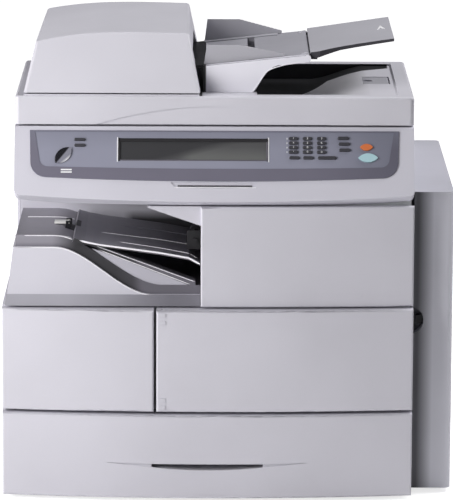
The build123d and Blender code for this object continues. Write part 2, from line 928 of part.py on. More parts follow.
with BuildPart() as display_screen:
    with BuildSketch(face_plane.offset(-seat - 2)):
        with Locations(((screen_left + screen_right) / 2, -(screen_top + screen_low) / 2)):
            Rectangle(screen_right - screen_left + 6, screen_low - screen_top + 6)
    extrude(amount=2)
    with BuildSketch(face_plane.offset(-seat)):
        with Locations(((screen_left + screen_right) / 2, -(screen_top + screen_low) / 2)):
            Rectangle(screen_right - screen_left, screen_low - screen_top)
    extrude(amount=seat + 0.2)
save(display_screen.part, "display_screen")
save(console_housing.part, "console_housing")

# Lid: a shallow box with a basin for the finished documents and a backing pad below
lid_front = scanner_front + 2.0
basin_start = tray_left + 70.0
ramp_start = lid_right - 139.0
ramp_end = lid_right - 59.0
stop_pin_x = lid_right - 31.0
stop_pin_z = lid_top - 5.6
stop_length = 34.0
ramp_top = lid_top - 3.0
arm_front = tray_front + arm_wall
arm_back = tray_back - arm_wall
pad_gap = 0.3
grip_left = lid_left + 111.0
grip_right = lid_right - 116.0
grip_depth = 1.4

with BuildPart() as lid_shell:
    slab((lid_left, lid_front, lid_bottom), (lid_right, lid_rear, lid_top))
    fillet(lid_shell.edges().filter_by(Axis.Z), lid_round)
    fillet(lid_shell.edges().group_by(Axis.Z)[-1], 4)
    slab(
        (lid_left + lid_wall, lid_front + lid_wall, lid_bottom - 1),
        (recess_left - lid_wall, lid_rear - lid_wall, lid_top - lid_wall),
        Mode.SUBTRACT,
    )
    slab(
        (recess_left - lid_wall - 1, lid_front + lid_wall, lid_bottom - 1),
        (lid_right - lid_wall, lid_rear - lid_wall, recess_floor - lid_wall),
        Mode.SUBTRACT,
    )
    slab((recess_left, arm_front, recess_floor), (basin_start, arm_back, lid_top + 1), Mode.SUBTRACT)
    with BuildSketch(Plane.XZ.offset(-recess_front)):
        with BuildLine():
            run = (ramp_end - ramp_start) / 3
            Polyline((basin_start, lid_top + 1), (basin_start, recess_floor), (ramp_start, recess_floor))
            Bezier(
                (ramp_start, recess_floor),
                (ramp_start + run, recess_floor),
                (ramp_end - run, ramp_top),
                (ramp_end, ramp_top),
            )
            Polyline(
                (ramp_end, ramp_top),
                (lid_right - 23, ramp_top),
                (lid_right - 20, lid_top + 1),
                (basin_start, lid_top + 1),
            )
        make_face()
    extrude(amount=-(recess_rear - recess_front), mode=Mode.SUBTRACT)
    slab(
        (stop_pin_x - stop_length - 0.4, -42.4, ramp_top - 5),
        (stop_pin_x + 3.4, 22.4, ramp_top + 1),
        Mode.SUBTRACT,
    )
    rod((stop_pin_x, -10, stop_pin_z), 1.5 + running, 72, "Y", Mode.SUBTRACT)
    with BuildSketch(Plane.XZ.offset(-lid_front - grip_depth)):
        with BuildLine():
            Spline(
                (grip_left, lid_bottom),
                (grip_left + 74, lid_bottom + 17.5),
                (grip_left + 126, lid_bottom + 24),
                (grip_left + 188, lid_bottom + 24.6),
                (grip_right - 80, lid_bottom + 18.5),
                (grip_right, lid_bottom),
            )
            Line((grip_right, lid_bottom), (grip_left, lid_bottom))
        make_face()
    extrude(amount=2 * grip_depth, mode=Mode.SUBTRACT)
    for x in hinge_at:
        rod((x, hinge_y, hinge_z), 6, hinge_width, "X")
        slab(
            (x - hinge_width / 2, lid_rear - 1, hinge_z - 4),
            (x + hinge_width / 2, hinge_y, hinge_z + 6),
        )
        rod((x, hinge_y, hinge_z), hinge_pin + running, 2 * hinge_width, "X", Mode.SUBTRACT)
save(lid_shell.part, "lid_shell")

with BuildPart() as document_stopper:
    slab((stop_pin_x - stop_length, -42, stop_pin_z - 2), (stop_pin_x, 22, stop_pin_z + 2))
    rod((stop_pin_x, -10, stop_pin_z), 2, 64, "Y")
    rod((stop_pin_x, -10, stop_pin_z), 1.5, 71, "Y")
    rod((stop_pin_x - stop_length + 6, -10, stop_pin_z), 8, 5, "Z", Mode.SUBTRACT)
save(document_stopper.part, "document_stopper")

with BuildPart() as platen_pad:
    slab(
        (lid_left + lid_wall + fit, lid_front + lid_wall + fit, lid_bottom),
        (lid_right - lid_wall - fit, lid_rear - lid_wall - fit, lid_bottom + 3),
    )
    slab(
        (strip_left - 4, platen_front - 4, scanner_top + pad_gap),
        (platen_right + 4, platen_rear + 4, lid_bottom),
    )
save(platen_pad.part, "platen_pad")

with BuildPart() as lid_hinges:
    for x in hinge_at:
        for side in (-1, 1):
            ear_x = x + side * (hinge_width / 2 + slide_gap + hinge_ear / 2)
            rod((ear_x, hinge_y, hinge_z), 7, hinge_ear, "X")
            slab(
                (ear_x - hinge_ear / 2, hinge_y - 7, scanner_top + 1.5),
                (ear_x + hinge_ear / 2, hinge_y + 7, hinge_z),
            )
        rod((x, hinge_y, hinge_z), hinge_pin, hinge_width + 2 * hinge_ear, "X")
        slab(
            (x - 24, hinge_y - 7, scanner_top),
            (x + 24, hinge_y + 22, scanner_top + 1.5),
        )
save(lid_hinges.part, "lid_hinges")

# Document feeder: base with two arms and a deck, and the cover hinged at its left
feeder_floor = lid_top + 2.0
cover_low = feeder_floor + 2.0
cover_hinge_x = feeder_left + 3.4
cover_hinge_z = cover_low + 3.0
cover_lugs = (-110.0, 80.0)
cover_lug = 12.0
tray_hinge_x = tray_left + 139.4
tray_hinge_z = lid_top + 47.0
deck_end = tray_hinge_x + 2.0
roller_up = lid_top + 52.0
roller_across = feeder_right - 48.0
block_top = lid_top + 33.0
tray_lugs = (-122.0, 82.0)
tray_gap = 0.6
guide_slot_x = tray_left + 58.0
guide_left = tray_left - 3.0
guide_right = tray_hinge_x - 32.0
guide_top = lid_top + 64.0
guide_slot = 10.0


def deck_z(x):
    """Height of the feeder deck at a place along it."""
    return tray_zero + tray_slope * x


with BuildPart() as adf_base:
    slab((feeder_left, feeder_front, lid_top), (feeder_right + 3, feeder_rear, feeder_floor))
    slab((feeder_right + 3, tray_front, lid_top), (recess_left - 2, tray_back, feeder_floor))
    slab((feeder_left + 34, -112, feeder_floor), (feeder_right - 20, 82, block_top))
    slab((feeder_left + 37, -109, feeder_floor - 0.5), (feeder_right - 17, 79, block_top - 3), Mode.SUBTRACT)
    slab((tray_left - 4, tray_front, lid_top), (tray_left, tray_back, deck_z(tray_left - 4)))
    slab(
        (tray_left - 5, arm_front + 2, lid_top + 6),
        (tray_left + 1, arm_back - 2, lid_top + 21),
        Mode.SUBTRACT,
    )
    for y in (tray_front, arm_back):
        with BuildSketch(Plane.XZ.offset(-y)):
            with BuildLine():
                Polyline(
                    (tray_left + 65, lid_top),
                    (tray_left, lid_top),
                    (tray_left, deck_z(tray_left) - 1),
                    (tray_hinge_x - 4, deck_z(tray_hinge_x) - 1.5),
                    (tray_hinge_x, tray_hinge_z - 5),
                    (tray_hinge_x - 30, lid_top + 38),
                )
                Spline(
                    (tray_hinge_x - 30, lid_top + 38),
                    (tray_hinge_x - 54, lid_top + 29.5),
                    (tray_left + 74.5, lid_top + 14),
                    (tray_left + 65, lid_top),
                )
            make_face()
        extrude(amount=-arm_wall)
        rod((tray_hinge_x, y + arm_wall / 2, tray_hinge_z), 5, arm_wall, "Y")
    with BuildSketch(Plane.XZ.offset(-arm_front + 1)):
        with BuildLine():
            Polyline(
                (tray_left - 28, deck_z(tray_left - 28)),
                (deck_end, deck_z(deck_end)),
                (deck_end, deck_z(deck_end) - tray_thick / 2),
                (tray_left - 28, deck_z(tray_left - 28) - tray_thick / 2),
                close=True,
            )
        make_face()
    extrude(amount=-(arm_back - arm_front + 2))
    slab((feeder_right - 24, arm_front + 14, block_top - 3), (feeder_right - 18, arm_back - 14, block_top))
    slab(
        (guide_slot_x, arm_front, lid_top + 19),
        (guide_slot_x + guide_slot, arm_back, guide_top),
        Mode.SUBTRACT,
    )
    for y, side in zip(tray_lugs, (-1, 1)):
        slab(
            (tray_hinge_x - 9, y - 4 - tray_gap, tray_hinge_z - 8),
            (tray_hinge_x + 6, y + 4 + tray_gap, tray_hinge_z + 9),
            Mode.SUBTRACT,
        )
        rod((tray_hinge_x, y + side * 6, tray_hinge_z), 2, 20, "Y")
    for y in cover_lugs:
        rod((cover_hinge_x, y, cover_hinge_z), 2.6, cover_lug, "Y")
        slab(
            (cover_hinge_x - 2.6, y - cover_lug / 2, feeder_floor - 1),
            (cover_hinge_x + 2.6, y + cover_lug / 2, cover_hinge_z),
        )
        rod((cover_hinge_x, y, cover_hinge_z), 1.5, cover_lug + 12, "Y")
    for y in (-52, 12):
        slab((roller_across - 6, y - 2, block_top - 1), (roller_across + 6, y + 2, roller_up + 8))
    rod((roller_across, tray_mid, roller_up), 3 + running, 80, "Y", Mode.SUBTRACT)
save(adf_base.part, "adf_base")

with BuildPart() as adf_roller:
    rod((roller_across, tray_mid, roller_up), 3, 78, "Y")
    rod((roller_across, tray_mid, roller_up), 9, 50, "Y")
save(adf_roller.part, "adf_roller")

tray_waist = 25.0
cover_peak = lid_top + 93.0
cover_tilt = 0.042
cover_crown = ((-0.05, 61.0), (0.07, 68.2), (0.213, 74.2), (0.44, 79.1), (0.726, 79.4), (1.05, 77.8))
cover_edge_y = -118.0


def cover_block(inset, low, drop):
    """The body of the feeder cover, drawn in by an inset on every side."""
    width = feeder_right - feeder_left
    crown = [(feeder_left + share * width, lid_top + rise - drop) for share, rise in cover_crown]
    with BuildPart() as block:
        with BuildSketch(Plane.XY.offset(low)):
            with Locations(((feeder_left + feeder_right) / 2, (feeder_front + feeder_rear) / 2)):
                Rectangle(width - 2 * inset, feeder_rear - feeder_front - 2 * inset)
        with BuildSketch(Plane.XY.offset(cover_peak)):
            with BuildLine():
                Polyline(
                    (feeder_left + 20.5 + inset, feeder_front + 68.8 + inset),
                    (feeder_right - 18.4 - inset, feeder_front + 68.8 + inset),
                    (feeder_right - 18.4 - inset, feeder_rear - 25.1 - inset),
                    (feeder_left + 25.5 + inset, feeder_rear - 25.1 - inset),
                    close=True,
                )
            make_face()
        loft()
        with BuildSketch(Plane.XZ.offset(-cover_edge_y)):
            with BuildLine():
                Spline(*crown)
                Polyline(
                    crown[-1],
                    (crown[-1][0], cover_peak + 20),
                    (crown[0][0], cover_peak + 20),
                    crown[0],
                )
            make_face()
        extrude(amount=300, dir=(0, 1, cover_tilt), both=True, mode=Mode.SUBTRACT)
    return block.part


with BuildPart() as adf_cover:
    add(cover_block(0, cover_low, 0))
    fillet(adf_cover.edges().group_by(Axis.Z)[1:], 5)
    add(cover_block(feeder_wall, cover_low - 1, feeder_wall), mode=Mode.SUBTRACT)
    slab(
        (feeder_right - 30, arm_front - 2, cover_low - 1),
        (feeder_right + 1, arm_back + 2, lid_top + 40),
        Mode.SUBTRACT,
    )
    slab(
        (feeder_right - 30, arm_front + 12, cover_low - 1),
        (feeder_right + 1, arm_back - 12, lid_top + 56),
        Mode.SUBTRACT,
    )
    for y in cover_lugs:
        for side in (-1, 1):
            rod((cover_hinge_x, y + side * (cover_lug / 2 + slide_gap + 3), cover_hinge_z), 3, 6, "Y")
        slab(
            (feeder_left - 1, y - cover_lug / 2 - slide_gap, cover_low - 1),
            (cover_hinge_x + 4, y + cover_lug / 2 + slide_gap, cover_hinge_z + 4.5),
            Mode.SUBTRACT,
        )
        rod((cover_hinge_x, y, cover_hinge_z), 1.5 + running, cover_lug + 20, "Y", Mode.SUBTRACT)
save(adf_cover.part, "adf_cover")

with BuildPart() as adf_input_tray:
    with BuildSketch(Plane.XZ.offset(-tray_front - 5)):
        with BuildLine():
            Polyline(
                (tray_hinge_x + 4, tray_hinge_z + 8),
                (tray_end, tray_hinge_z + 25),
                (tray_end, tray_hinge_z + 21),
                (tray_hinge_x + 45, tray_hinge_z + 9),
                (tray_hinge_x + 12, tray_hinge_z),
                (tray_hinge_x + 4, tray_hinge_z + 6.2),
                close=True,
            )
        make_face()
    extrude(amount=-(tray_back - tray_front - 5))
    with BuildSketch(Plane.XY.offset(tray_hinge_z - 10)):
        with BuildLine():
            Spline(
                (tray_hinge_x + 16, tray_front + 4),
                (tray_hinge_x + 34, tray_front + 0.6 * tray_waist),
                (tray_hinge_x + 62, tray_front + 0.9 * tray_waist),
                (tray_end + 1, tray_front + tray_waist),
            )
            Polyline(
                (tray_end + 1, tray_front + tray_waist),
                (tray_end + 1, tray_front),
                (tray_hinge_x + 16, tray_front),
                (tray_hinge_x + 16, tray_front + 4),
            )
        make_face()
    extrude(amount=60, mode=Mode.SUBTRACT)
    for y in tray_lugs:
        rod((tray_hinge_x, y, tray_hinge_z), 5, 8, "Y")
        slab((tray_hinge_x, y - 4, tray_hinge_z - 3), (tray_hinge_x + 14, y + 4, tray_hinge_z + 5))
        rod((tray_hinge_x, y, tray_hinge_z), 2 + running, 10, "Y", Mode.SUBTRACT)
save(adf_input_tray.part, "adf_input_tray")

guide_inner = 108.5
guide_thick = 2.5
guide_step = 5.0


def paper_guide(side):
    """An upright guide on the feeder deck, with a foot and a tongue in the deck's slot."""
    top = guide_top + max(side, 0) * guide_step
    inner = tray_mid + side * guide_inner
    outer = inner + side * guide_thick
    with BuildPart() as guide:
        with BuildSketch(Plane.XZ.offset(-min(inner, outer))):
            with BuildLine():
                Polyline(
                    (guide_left, deck_z(guide_left) + slide_gap),
                    (guide_right, deck_z(guide_right) + slide_gap),
                    (guide_right, guide_top - 11),
                    (guide_left + 50, top),
                    (guide_left + 4, top),
                    close=True,
                )
            make_face()
        extrude(amount=-guide_thick)
        with BuildSketch(Plane.XZ.offset(-min(inner, inner - side * 14))):
            with BuildLine():
                Polyline(
                    (guide_left, deck_z(guide_left) + slide_gap),
                    (guide_right - 6, deck_z(guide_right - 6) + slide_gap),
                    (guide_right - 6, deck_z(guide_right - 6) + 1.6),
                    (guide_left, deck_z(guide_left) + 1.6),
                    close=True,
                )
            make_face()
        extrude(amount=-14)
        slab(
            (guide_slot_x + slide_gap, min(inner, inner - side * 12), deck_z(guide_slot_x) - 7),
            (
                guide_slot_x + guide_slot - slide_gap,
                max(inner, inner - side * 12),
                deck_z(guide_slot_x) + 1.2,
            ),
        )
    return guide.part


save(paper_guide(-1), "front_paper_guide")
save(paper_guide(1), "rear_paper_guide")

# Side unit: a door that turns about an upright hinge at the rear, with a folding tray on it
mp_left = -140.0
mp_right = 120.0
mp_low = side_high - 291.0
mp_high = side_high - 51.0
mp_depth = 8.0
mp_hinge_x = side_right - 4.5
mp_hinge_z = mp_low + 7.0
recess_radius = 19.4
recess_x = side_left - 5.5
recess_z = side_high - 180.0
side_floor_y = side_front + 22.0

with BuildPart() as side_door:
    slab((side_left, side_front, side_low), (side_right, side_rear, side_high))
    fillet(side_door.edges().filter_by(Axis.Z).group_by(Axis.X)[-1], 8)
    fillet(side_door.edges().filter_by(Axis.Z).group_by(Axis.X)[0].group_by(Axis.Y)[-1], 5)
    slab(
        (side_left - 1, side_front + side_shell, side_low + side_shell),
        (side_right - side_shell, side_rear - side_shell, side_high - side_shell),
        Mode.SUBTRACT,
    )
    slab(
        (side_right - mp_depth - side_shell, mp_left - side_shell, mp_low - side_shell),
        (side_right - 1, mp_right + side_shell, mp_high + side_shell),
    )
    slab((side_right - mp_depth, mp_left, mp_low), (side_right + 1, mp_right, mp_high), Mode.SUBTRACT)
    rod((mp_hinge_x, (mp_left + mp_right) / 2, mp_hinge_z), 2 + running, 265, "Y", Mode.SUBTRACT)
    slab(
        (side_left, side_front, recess_z - recess_radius - 5),
        (side_left + 30, side_floor_y, recess_z + recess_radius + 5),
    )
    rod((recess_x, side_front, recess_z), recess_radius, 32, "Y", Mode.SUBTRACT)
    slab(
        (side_left - 1, side_front + 7.4, recess_z - 6.4),
        (side_left + 27, side_front + 12.4, recess_z + 6.4),
        Mode.SUBTRACT,
    )
    for lug_z in side_lugs:
        for side in (-1, 1):
            middle = lug_z + side * (lug_height + slide_gap)
            rod((side_pivot_x, side_pivot_y, middle), 4.5, lug_height, "Z")
            slab(
                (side_pivot_x - 4.5, side_pivot_y, middle - lug_height / 2),
                (side_pivot_x + 4.5, side_rear - 1, middle + lug_height / 2),
            )
        rod((side_pivot_x, side_pivot_y, lug_z), pivot_pin + running, 6 * lug_height, "Z", Mode.SUBTRACT)
        slab(
            (side_left - 1, side_pivot_y - 6, lug_z - lug_height / 2 - slide_gap),
            (side_pivot_x + 5, side_rear + 1, lug_z + lug_height / 2 + slide_gap),
            Mode.SUBTRACT,
        )
save(side_door.part, "side_door")

with BuildPart() as side_latch:
    slab((side_left + 3.5, side_front + 7.8, recess_z - 6), (side_left + 22, side_front + 12, recess_z + 6))
    slab((side_left + 3.5, side_front + 4.5, recess_z - 6), (side_left + 6, side_front + 8.5, recess_z + 6))
save(side_latch.part, "side_latch")

with BuildPart() as mp_tray:
    slab(
        (side_right - 6.8, mp_left + 0.5, mp_hinge_z),
        (side_right - 2.2, mp_right - 0.5, mp_high - 3),
    )
    rod((mp_hinge_x, (mp_left + mp_right) / 2, mp_hinge_z), 2.3, mp_right - mp_left - 1, "Y")
    rod((mp_hinge_x, (mp_left + mp_right) / 2, mp_hinge_z), 2, 264, "Y")
    slab((side_right - 3.5, -40, mp_high - 12), (side_right - 2, 20, mp_high - 2), Mode.SUBTRACT)
save(mp_tray.part, "mp_tray")

# Paper cassette: a bowed front with a pull slot, and the box behind it
pull_top = drawer_high - 68.5
pull_half = 76.5
pull_end = 4.6
pull_middle = 8.6
pull_back = frame_front - 6.0
pull_wall = 3.0
wing_reach = 64.0
wing_rise = 1.5
wing_depth = 1.5


def pull_outline():
    """The pull slot: straight above, bellied below."""
    with BuildSketch() as shape:
        with BuildLine():
            Polyline((-pull_half, -pull_end), (-pull_half, 0), (pull_half, 0), (pull_half, -pull_end))
            ThreePointArc((-pull_half, -pull_end), (0, -pull_middle), (pull_half, -pull_end))
        make_face()
    return shape.sketch


with BuildPart() as pull_wings:
    with BuildSketch(Plane.XZ.offset(-frame_front)):
        for side in (-1, 1):
            with BuildLine():
                Polyline(
                    (body_mid + side * (pull_half - 1), pull_top),
                    (body_mid + side * (pull_half + wing_reach), pull_top + wing_rise),
                    (body_mid + side * (pull_half - 1), pull_top - pull_end),
                    close=True,
                )
            make_face()
    extrude(amount=60)
    with BuildSketch(Plane.XY.offset(drawer_low)):
        add(plan(body_left, body_right, front_corner + wing_depth, drawer_sag, frame_rear))
    extrude(amount=drawer_high, mode=Mode.SUBTRACT)

with BuildPart() as cassette_front:
    add(
        front_cover(
            body_left, body_right, drawer_low - 2, drawer_high,
            front_corner, drawer_sag, frame_front - slide_gap,
        )
    )
    slab(
        (body_left + 4, frame_front - 3, drawer_low),
        (body_right - 4, frame_front - slide_gap, drawer_high - 2),
    )
    with BuildSketch(Plane.XZ.offset(-pull_back - pull_wall)):
        with Locations((body_mid, pull_top)):
            add(grown(pull_outline(), pull_wall))
    extrude(amount=18 + pull_wall)
    with BuildSketch(Plane.XZ.offset(-pull_back)):
        with Locations((body_mid, pull_top)):
            add(pull_outline())
    extrude(amount=60, mode=Mode.SUBTRACT)
    add(pull_wings.part, mode=Mode.SUBTRACT)
save(cassette_front.part, "cassette_front")

box_left = frame_left + sheet + cassette_side_gap
box_right = frame_right - sheet - cassette_side_gap
lift_left = frame_right - 290.0
lift_right = frame_right - 45.0
guide_at = lift_left - 109.0
lift_z = cassette_low + 12.7

with BuildPart() as cassette_box:
    slab((box_left, frame_front - slide_gap, cassette_low), (box_right, cassette_back, cassette_high))
    slab(
        (box_left + cassette_wall, frame_front + 10, cassette_low + cassette_wall),
        (box_right - cassette_wall, cassette_back - cassette_wall, cassette_high + 1),
        Mode.SUBTRACT,
    )
    for y in (bin_front + 12, cassette_back - 18):
        slab((lift_left - 8, y - 2, cassette_low), (lift_left, y + 2, lift_z + 5))
    rod((lift_left - 4, paper_mid, lift_z), 2, 204, "Y", Mode.ADD)
    slab((guide_at - 51, -95, cassette_low), (guide_at + 79, -85, cassette_low + cassette_wall + 1.5))
save(cassette_box.part, "cassette_box")

with BuildPart() as lift_plate:
    slab((lift_left + 2, bin_front, lift_z - 1), (lift_right, cassette_back - 12, lift_z + 1))
    for y in (bin_front + 24, cassette_back - 30):
        rod((lift_left - 4, y, lift_z), 5, 6, "Y")
        slab((lift_left - 4, y - 3, lift_z - 1), (lift_left + 4, y + 3, lift_z + 4))
        rod((lift_left - 4, y, lift_z), 2 + running, 10, "Y", Mode.SUBTRACT)
save(lift_plate.part, "lift_plate")

with BuildPart() as cassette_end_guide:
    slab((guide_at - 3, -120, cassette_low + cassette_wall + slide_gap), (guide_at, -60, cassette_high - 8))
    slab(
        (guide_at - 19, -120, cassette_low + cassette_wall + slide_gap),
        (guide_at, -60, cassette_low + cassette_wall + 5),
    )
    slab(
        (guide_at - 21, -95.3, cassette_low),
        (guide_at + 9, -84.7, cassette_low + cassette_wall + 1.8),
        Mode.SUBTRACT,
    )
save(cassette_end_guide.part, "cassette_end_guide")

with BuildPart() as pickup_roller:
    rod((roller_x, paper_mid, roller_z), roller_shaft, 2 * roller_half + 8, "Y")
    for y in (-24, 24):
        rod((roller_x, paper_mid + y, roller_z), 12, 26, "Y")
save(pickup_roller.part, "pickup_roller")

# Inside the engine bay
with BuildPart() as toner_cartridge:
    slab((toner_left, frame_front + 0.5, bay_top + sheet), (toner_right, toner_rear, toner_high))
    fillet(toner_cartridge.edges().filter_by(Axis.Y), 6)
    with Locations((toner_left + 80, frame_front, engine_top - 102)):
        Box(60, 20, 30, mode=Mode.SUBTRACT)
save(toner_cartridge.part, "toner_cartridge")

with BuildPart() as fuser_unit:
    slab((frame_right - 68, bin_front, engine_top - 62), (frame_right - 12, cassette_back, engine_top - 12))
    fillet(fuser_unit.edges().filter_by(Axis.Y), 5)
    for y in (bin_front + 20, cassette_back - 20):
        for x in (frame_right - 55, frame_right - 20):
            slab((x - 5, y - 5, bay_top + sheet), (x + 5, y + 5, engine_top - 57))
save(fuser_unit.part, "fuser_unit")

# Electrical parts and fasteners
with BuildPart() as power_inlet:
    slab(
        (inlet_x - inlet_width / 2, frame_rear + 0.2, inlet_z - inlet_height / 2),
        (inlet_x + inlet_width / 2, rear_face - 0.5, inlet_z + inlet_height / 2),
    )
    slab(
        (inlet_x - 12, frame_rear + 2, inlet_z - 8.4),
        (inlet_x + 12, rear_face, inlet_z + 8.4),
        Mode.SUBTRACT,
    )
    for x, z in ((0, 3), (-7, -2), (7, -2)):
        slab(
            (inlet_x + x - 1, frame_rear + 1, inlet_z + z - 2),
            (inlet_x + x + 1, rear_face - 3, inlet_z + z + 2),
        )
save(power_inlet.part, "power_inlet")

rocker_x = body_left + 7.0
with BuildPart() as power_switch:
    rod((rocker_x, switch_y, switch_z), 14.0, switch_width - 1, "Y")
    slab(
        (rocker_x - 30, switch_y - 20, switch_z - 20),
        (body_left + 0.6, switch_y + 20, switch_z + 20),
        Mode.SUBTRACT,
    )
    slab(
        (rocker_x + 3, switch_y - 20, switch_z - 20),
        (rocker_x + 30, switch_y + 20, switch_z + 20),
        Mode.SUBTRACT,
    )
    rod((rocker_x, switch_y, switch_z), 1.5, switch_width + 4, "Y")
save(power_switch.part, "power_switch")

with BuildPart() as bin_stopper:
    stop_z = bin_lip_top - 2 + 3
    rod((stopper_x, -100, stop_z), 2, 14, "Y")
    rod((stopper_x, -100, stop_z), 1.2, 22, "Y")
    slab((stopper_x - 20, -107, stop_z - 1.5), (stopper_x, -93, stop_z + 1.5))
save(bin_stopper.part, "bin_stopper")

screw_places = [(x, z) for x in screw_columns for z in screw_rows]
with BuildPart() as screws:
    for x, z in screw_places:
        rod((x, rear_face - 0.8, z), screw_head, 1.6, "Y")
        rod((x, rear_face - 6, z), screw_shank, 11, "Y")
        rod((x, rear_face, z), 1.2, 1.2, "Y", Mode.SUBTRACT)
save(screws.part, "screws")
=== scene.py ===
import json
import math

import bpy
from mathutils import Matrix, Vector


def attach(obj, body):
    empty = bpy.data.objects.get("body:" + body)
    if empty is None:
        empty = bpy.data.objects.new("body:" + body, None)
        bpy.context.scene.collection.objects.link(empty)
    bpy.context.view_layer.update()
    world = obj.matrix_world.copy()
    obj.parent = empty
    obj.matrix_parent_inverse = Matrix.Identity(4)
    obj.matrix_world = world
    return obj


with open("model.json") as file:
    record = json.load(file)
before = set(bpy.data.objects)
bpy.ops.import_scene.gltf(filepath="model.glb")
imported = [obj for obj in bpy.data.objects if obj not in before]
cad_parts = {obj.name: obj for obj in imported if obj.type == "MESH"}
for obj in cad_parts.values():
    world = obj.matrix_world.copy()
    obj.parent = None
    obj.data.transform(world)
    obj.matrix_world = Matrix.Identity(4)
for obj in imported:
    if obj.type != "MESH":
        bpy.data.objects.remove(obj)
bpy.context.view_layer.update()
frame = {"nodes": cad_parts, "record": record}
nodes = frame["nodes"]
MM = 0.001

# Materials: each one has its own fine grain, tone variation and gloss


def new_material(name):
    m = bpy.data.materials.new(name)
    m.use_nodes = True
    tree = m.node_tree
    shader = tree.nodes["Principled BSDF"]
    return m, tree, shader


def node(tree, kind, **values):
    n = tree.nodes.new(kind)
    for key, value in values.items():
        setattr(n, key, value)
    return n


def coordinates(tree):
    return node(tree, "ShaderNodeTexCoord").outputs["Object"]


def noise(tree, scale, detail=3.0, rough=0.55):
    n = node(tree, "ShaderNodeTexNoise")
    n.inputs["Scale"].default_value = scale
    n.inputs["Detail"].default_value = detail
    n.inputs["Roughness"].default_value = rough
    tree.links.new(coordinates(tree), n.inputs["Vector"])
    return n.outputs["Fac"]


def ramp(tree, fac, stops):
    """Colours that follow a value from stop to stop."""
    r = node(tree, "ShaderNodeValToRGB")
    e = r.color_ramp.elements
    while len(e) < len(stops):
        e.new(0.5)
    for i, (place, colour) in enumerate(stops):
        e[i].position = place
        e[i].color = (*colour, 1)
    tree.links.new(fac, r.inputs["Fac"])
    return r.outputs["Color"]


def shade(colour, k):
    """The colour made darker or lighter k times."""
    return tuple(min(1.0, c * k) for c in colour)


def grain(tree, shader, scale, strength, distance=0.0002):
    """A fine raised texture on the surface."""
    b = node(tree, "ShaderNodeBump")
    b.inputs["Strength"].default_value = strength
    b.inputs["Distance"].default_value = distance
    tree.links.new(noise(tree, scale, 4.0, 0.6), b.inputs["Height"])
    tree.links.new(b.outputs["Normal"], shader.inputs["Normal"])


def rough_range(tree, shader, low, high, scale):
    """Gloss that wanders between two roughness values."""
    r = node(tree, "ShaderNodeMapRange")
    r.inputs["To Min"].default_value = low
    r.inputs["To Max"].default_value = high
    tree.links.new(noise(tree, scale), r.inputs["Value"])
    tree.links.new(r.outputs["Result"], shader.inputs["Roughness"])


def plastic(
    name, colour, rough=(0.42, 0.55), grain_scale=2600.0, bump=0.12, tone=0.03, coat=0.0
):
    """A moulded plastic: colour a little uneven, fine specks, fine grain and a range of gloss."""
    m, tree, shader = new_material(name)
    spots = noise(tree, 7.0, 2.0)
    colours = ramp(tree, spots, [(0.3, shade(colour, 1 - tone)), (0.7, shade(colour, 1 + tone))])
    fine = node(tree, "ShaderNodeMix", data_type="RGBA", blend_type="MULTIPLY")
    fine.inputs["Factor"].default_value = 0.5
    speck = ramp(tree, noise(tree, grain_scale * 0.6), [(0.3, (0.93, 0.93, 0.93)), (0.6, (1, 1, 1))])
    tree.links.new(colours, fine.inputs["A"])
    tree.links.new(speck, fine.inputs["B"])
    tree.links.new(fine.outputs["Result"], shader.inputs["Base Color"])
    rough_range(tree, shader, rough[0], rough[1], 60.0)
    grain(tree, shader, grain_scale, bump)
    shader.inputs["Coat Weight"].default_value = coat
    shader.inputs["Coat Roughness"].default_value = 0.2
    return m


FACING_HALF = 0.08


def zone_mask(tree, inside, facing, soft):
    """1 inside all the half spaces and where the surface faces the given ways, with soft edges."""
    value = None
    tests = [("Object", d, level * MM, soft * MM) for d, level in inside]
    tests += [("Normal", d, level, FACING_HALF) for d, level in facing]
    for source, direction, level, half in tests:
        dot = node(tree, "ShaderNodeVectorMath", operation="DOT_PRODUCT")
        dot.inputs[1].default_value = direction
        tree.links.new(node(tree, "ShaderNodeTexCoord").outputs[source], dot.inputs[0])
        edge = node(tree, "ShaderNodeMapRange")
        edge.inputs["From Min"].default_value = level - half
        edge.inputs["From Max"].default_value = level + half
        tree.links.new(dot.outputs["Value"], edge.inputs["Value"])
        if value is None:
            value = edge.outputs["Result"]
        else:
            both = node(tree, "ShaderNodeMath", operation="MULTIPLY")
            tree.links.new(value, both.inputs[0])
            tree.links.new(edge.outputs["Result"], both.inputs[1])
            value = both.outputs["Value"]
    return value


def zoned(name, colour, zones, **style):
    """A plastic with some parts of its surface in other colours.

    Each zone is (colour, half spaces, facing ways, softness of its edge in mm).
    """
    m = plastic(name, colour, **style)
    add_zones(m, zones)
    return m


def add_zones(m, zones):
    tree = m.node_tree
    base = tree.nodes["Principled BSDF"].inputs["Base Color"]
    for tone, inside, facing, soft in zones:
        mix = node(tree, "ShaderNodeMix", data_type="RGBA")
        mottled = ramp(tree, noise(tree, 8.0, 2.0), [(0.3, shade(tone, 0.96)), (0.7, shade(tone, 1.05))])
        tree.links.new(zone_mask(tree, inside, facing, soft), mix.inputs["Factor"])
        tree.links.new(base.links[0].from_socket, mix.inputs["A"])
        tree.links.new(mottled, mix.inputs["B"])
        tree.links.new(mix.outputs["Result"], base)


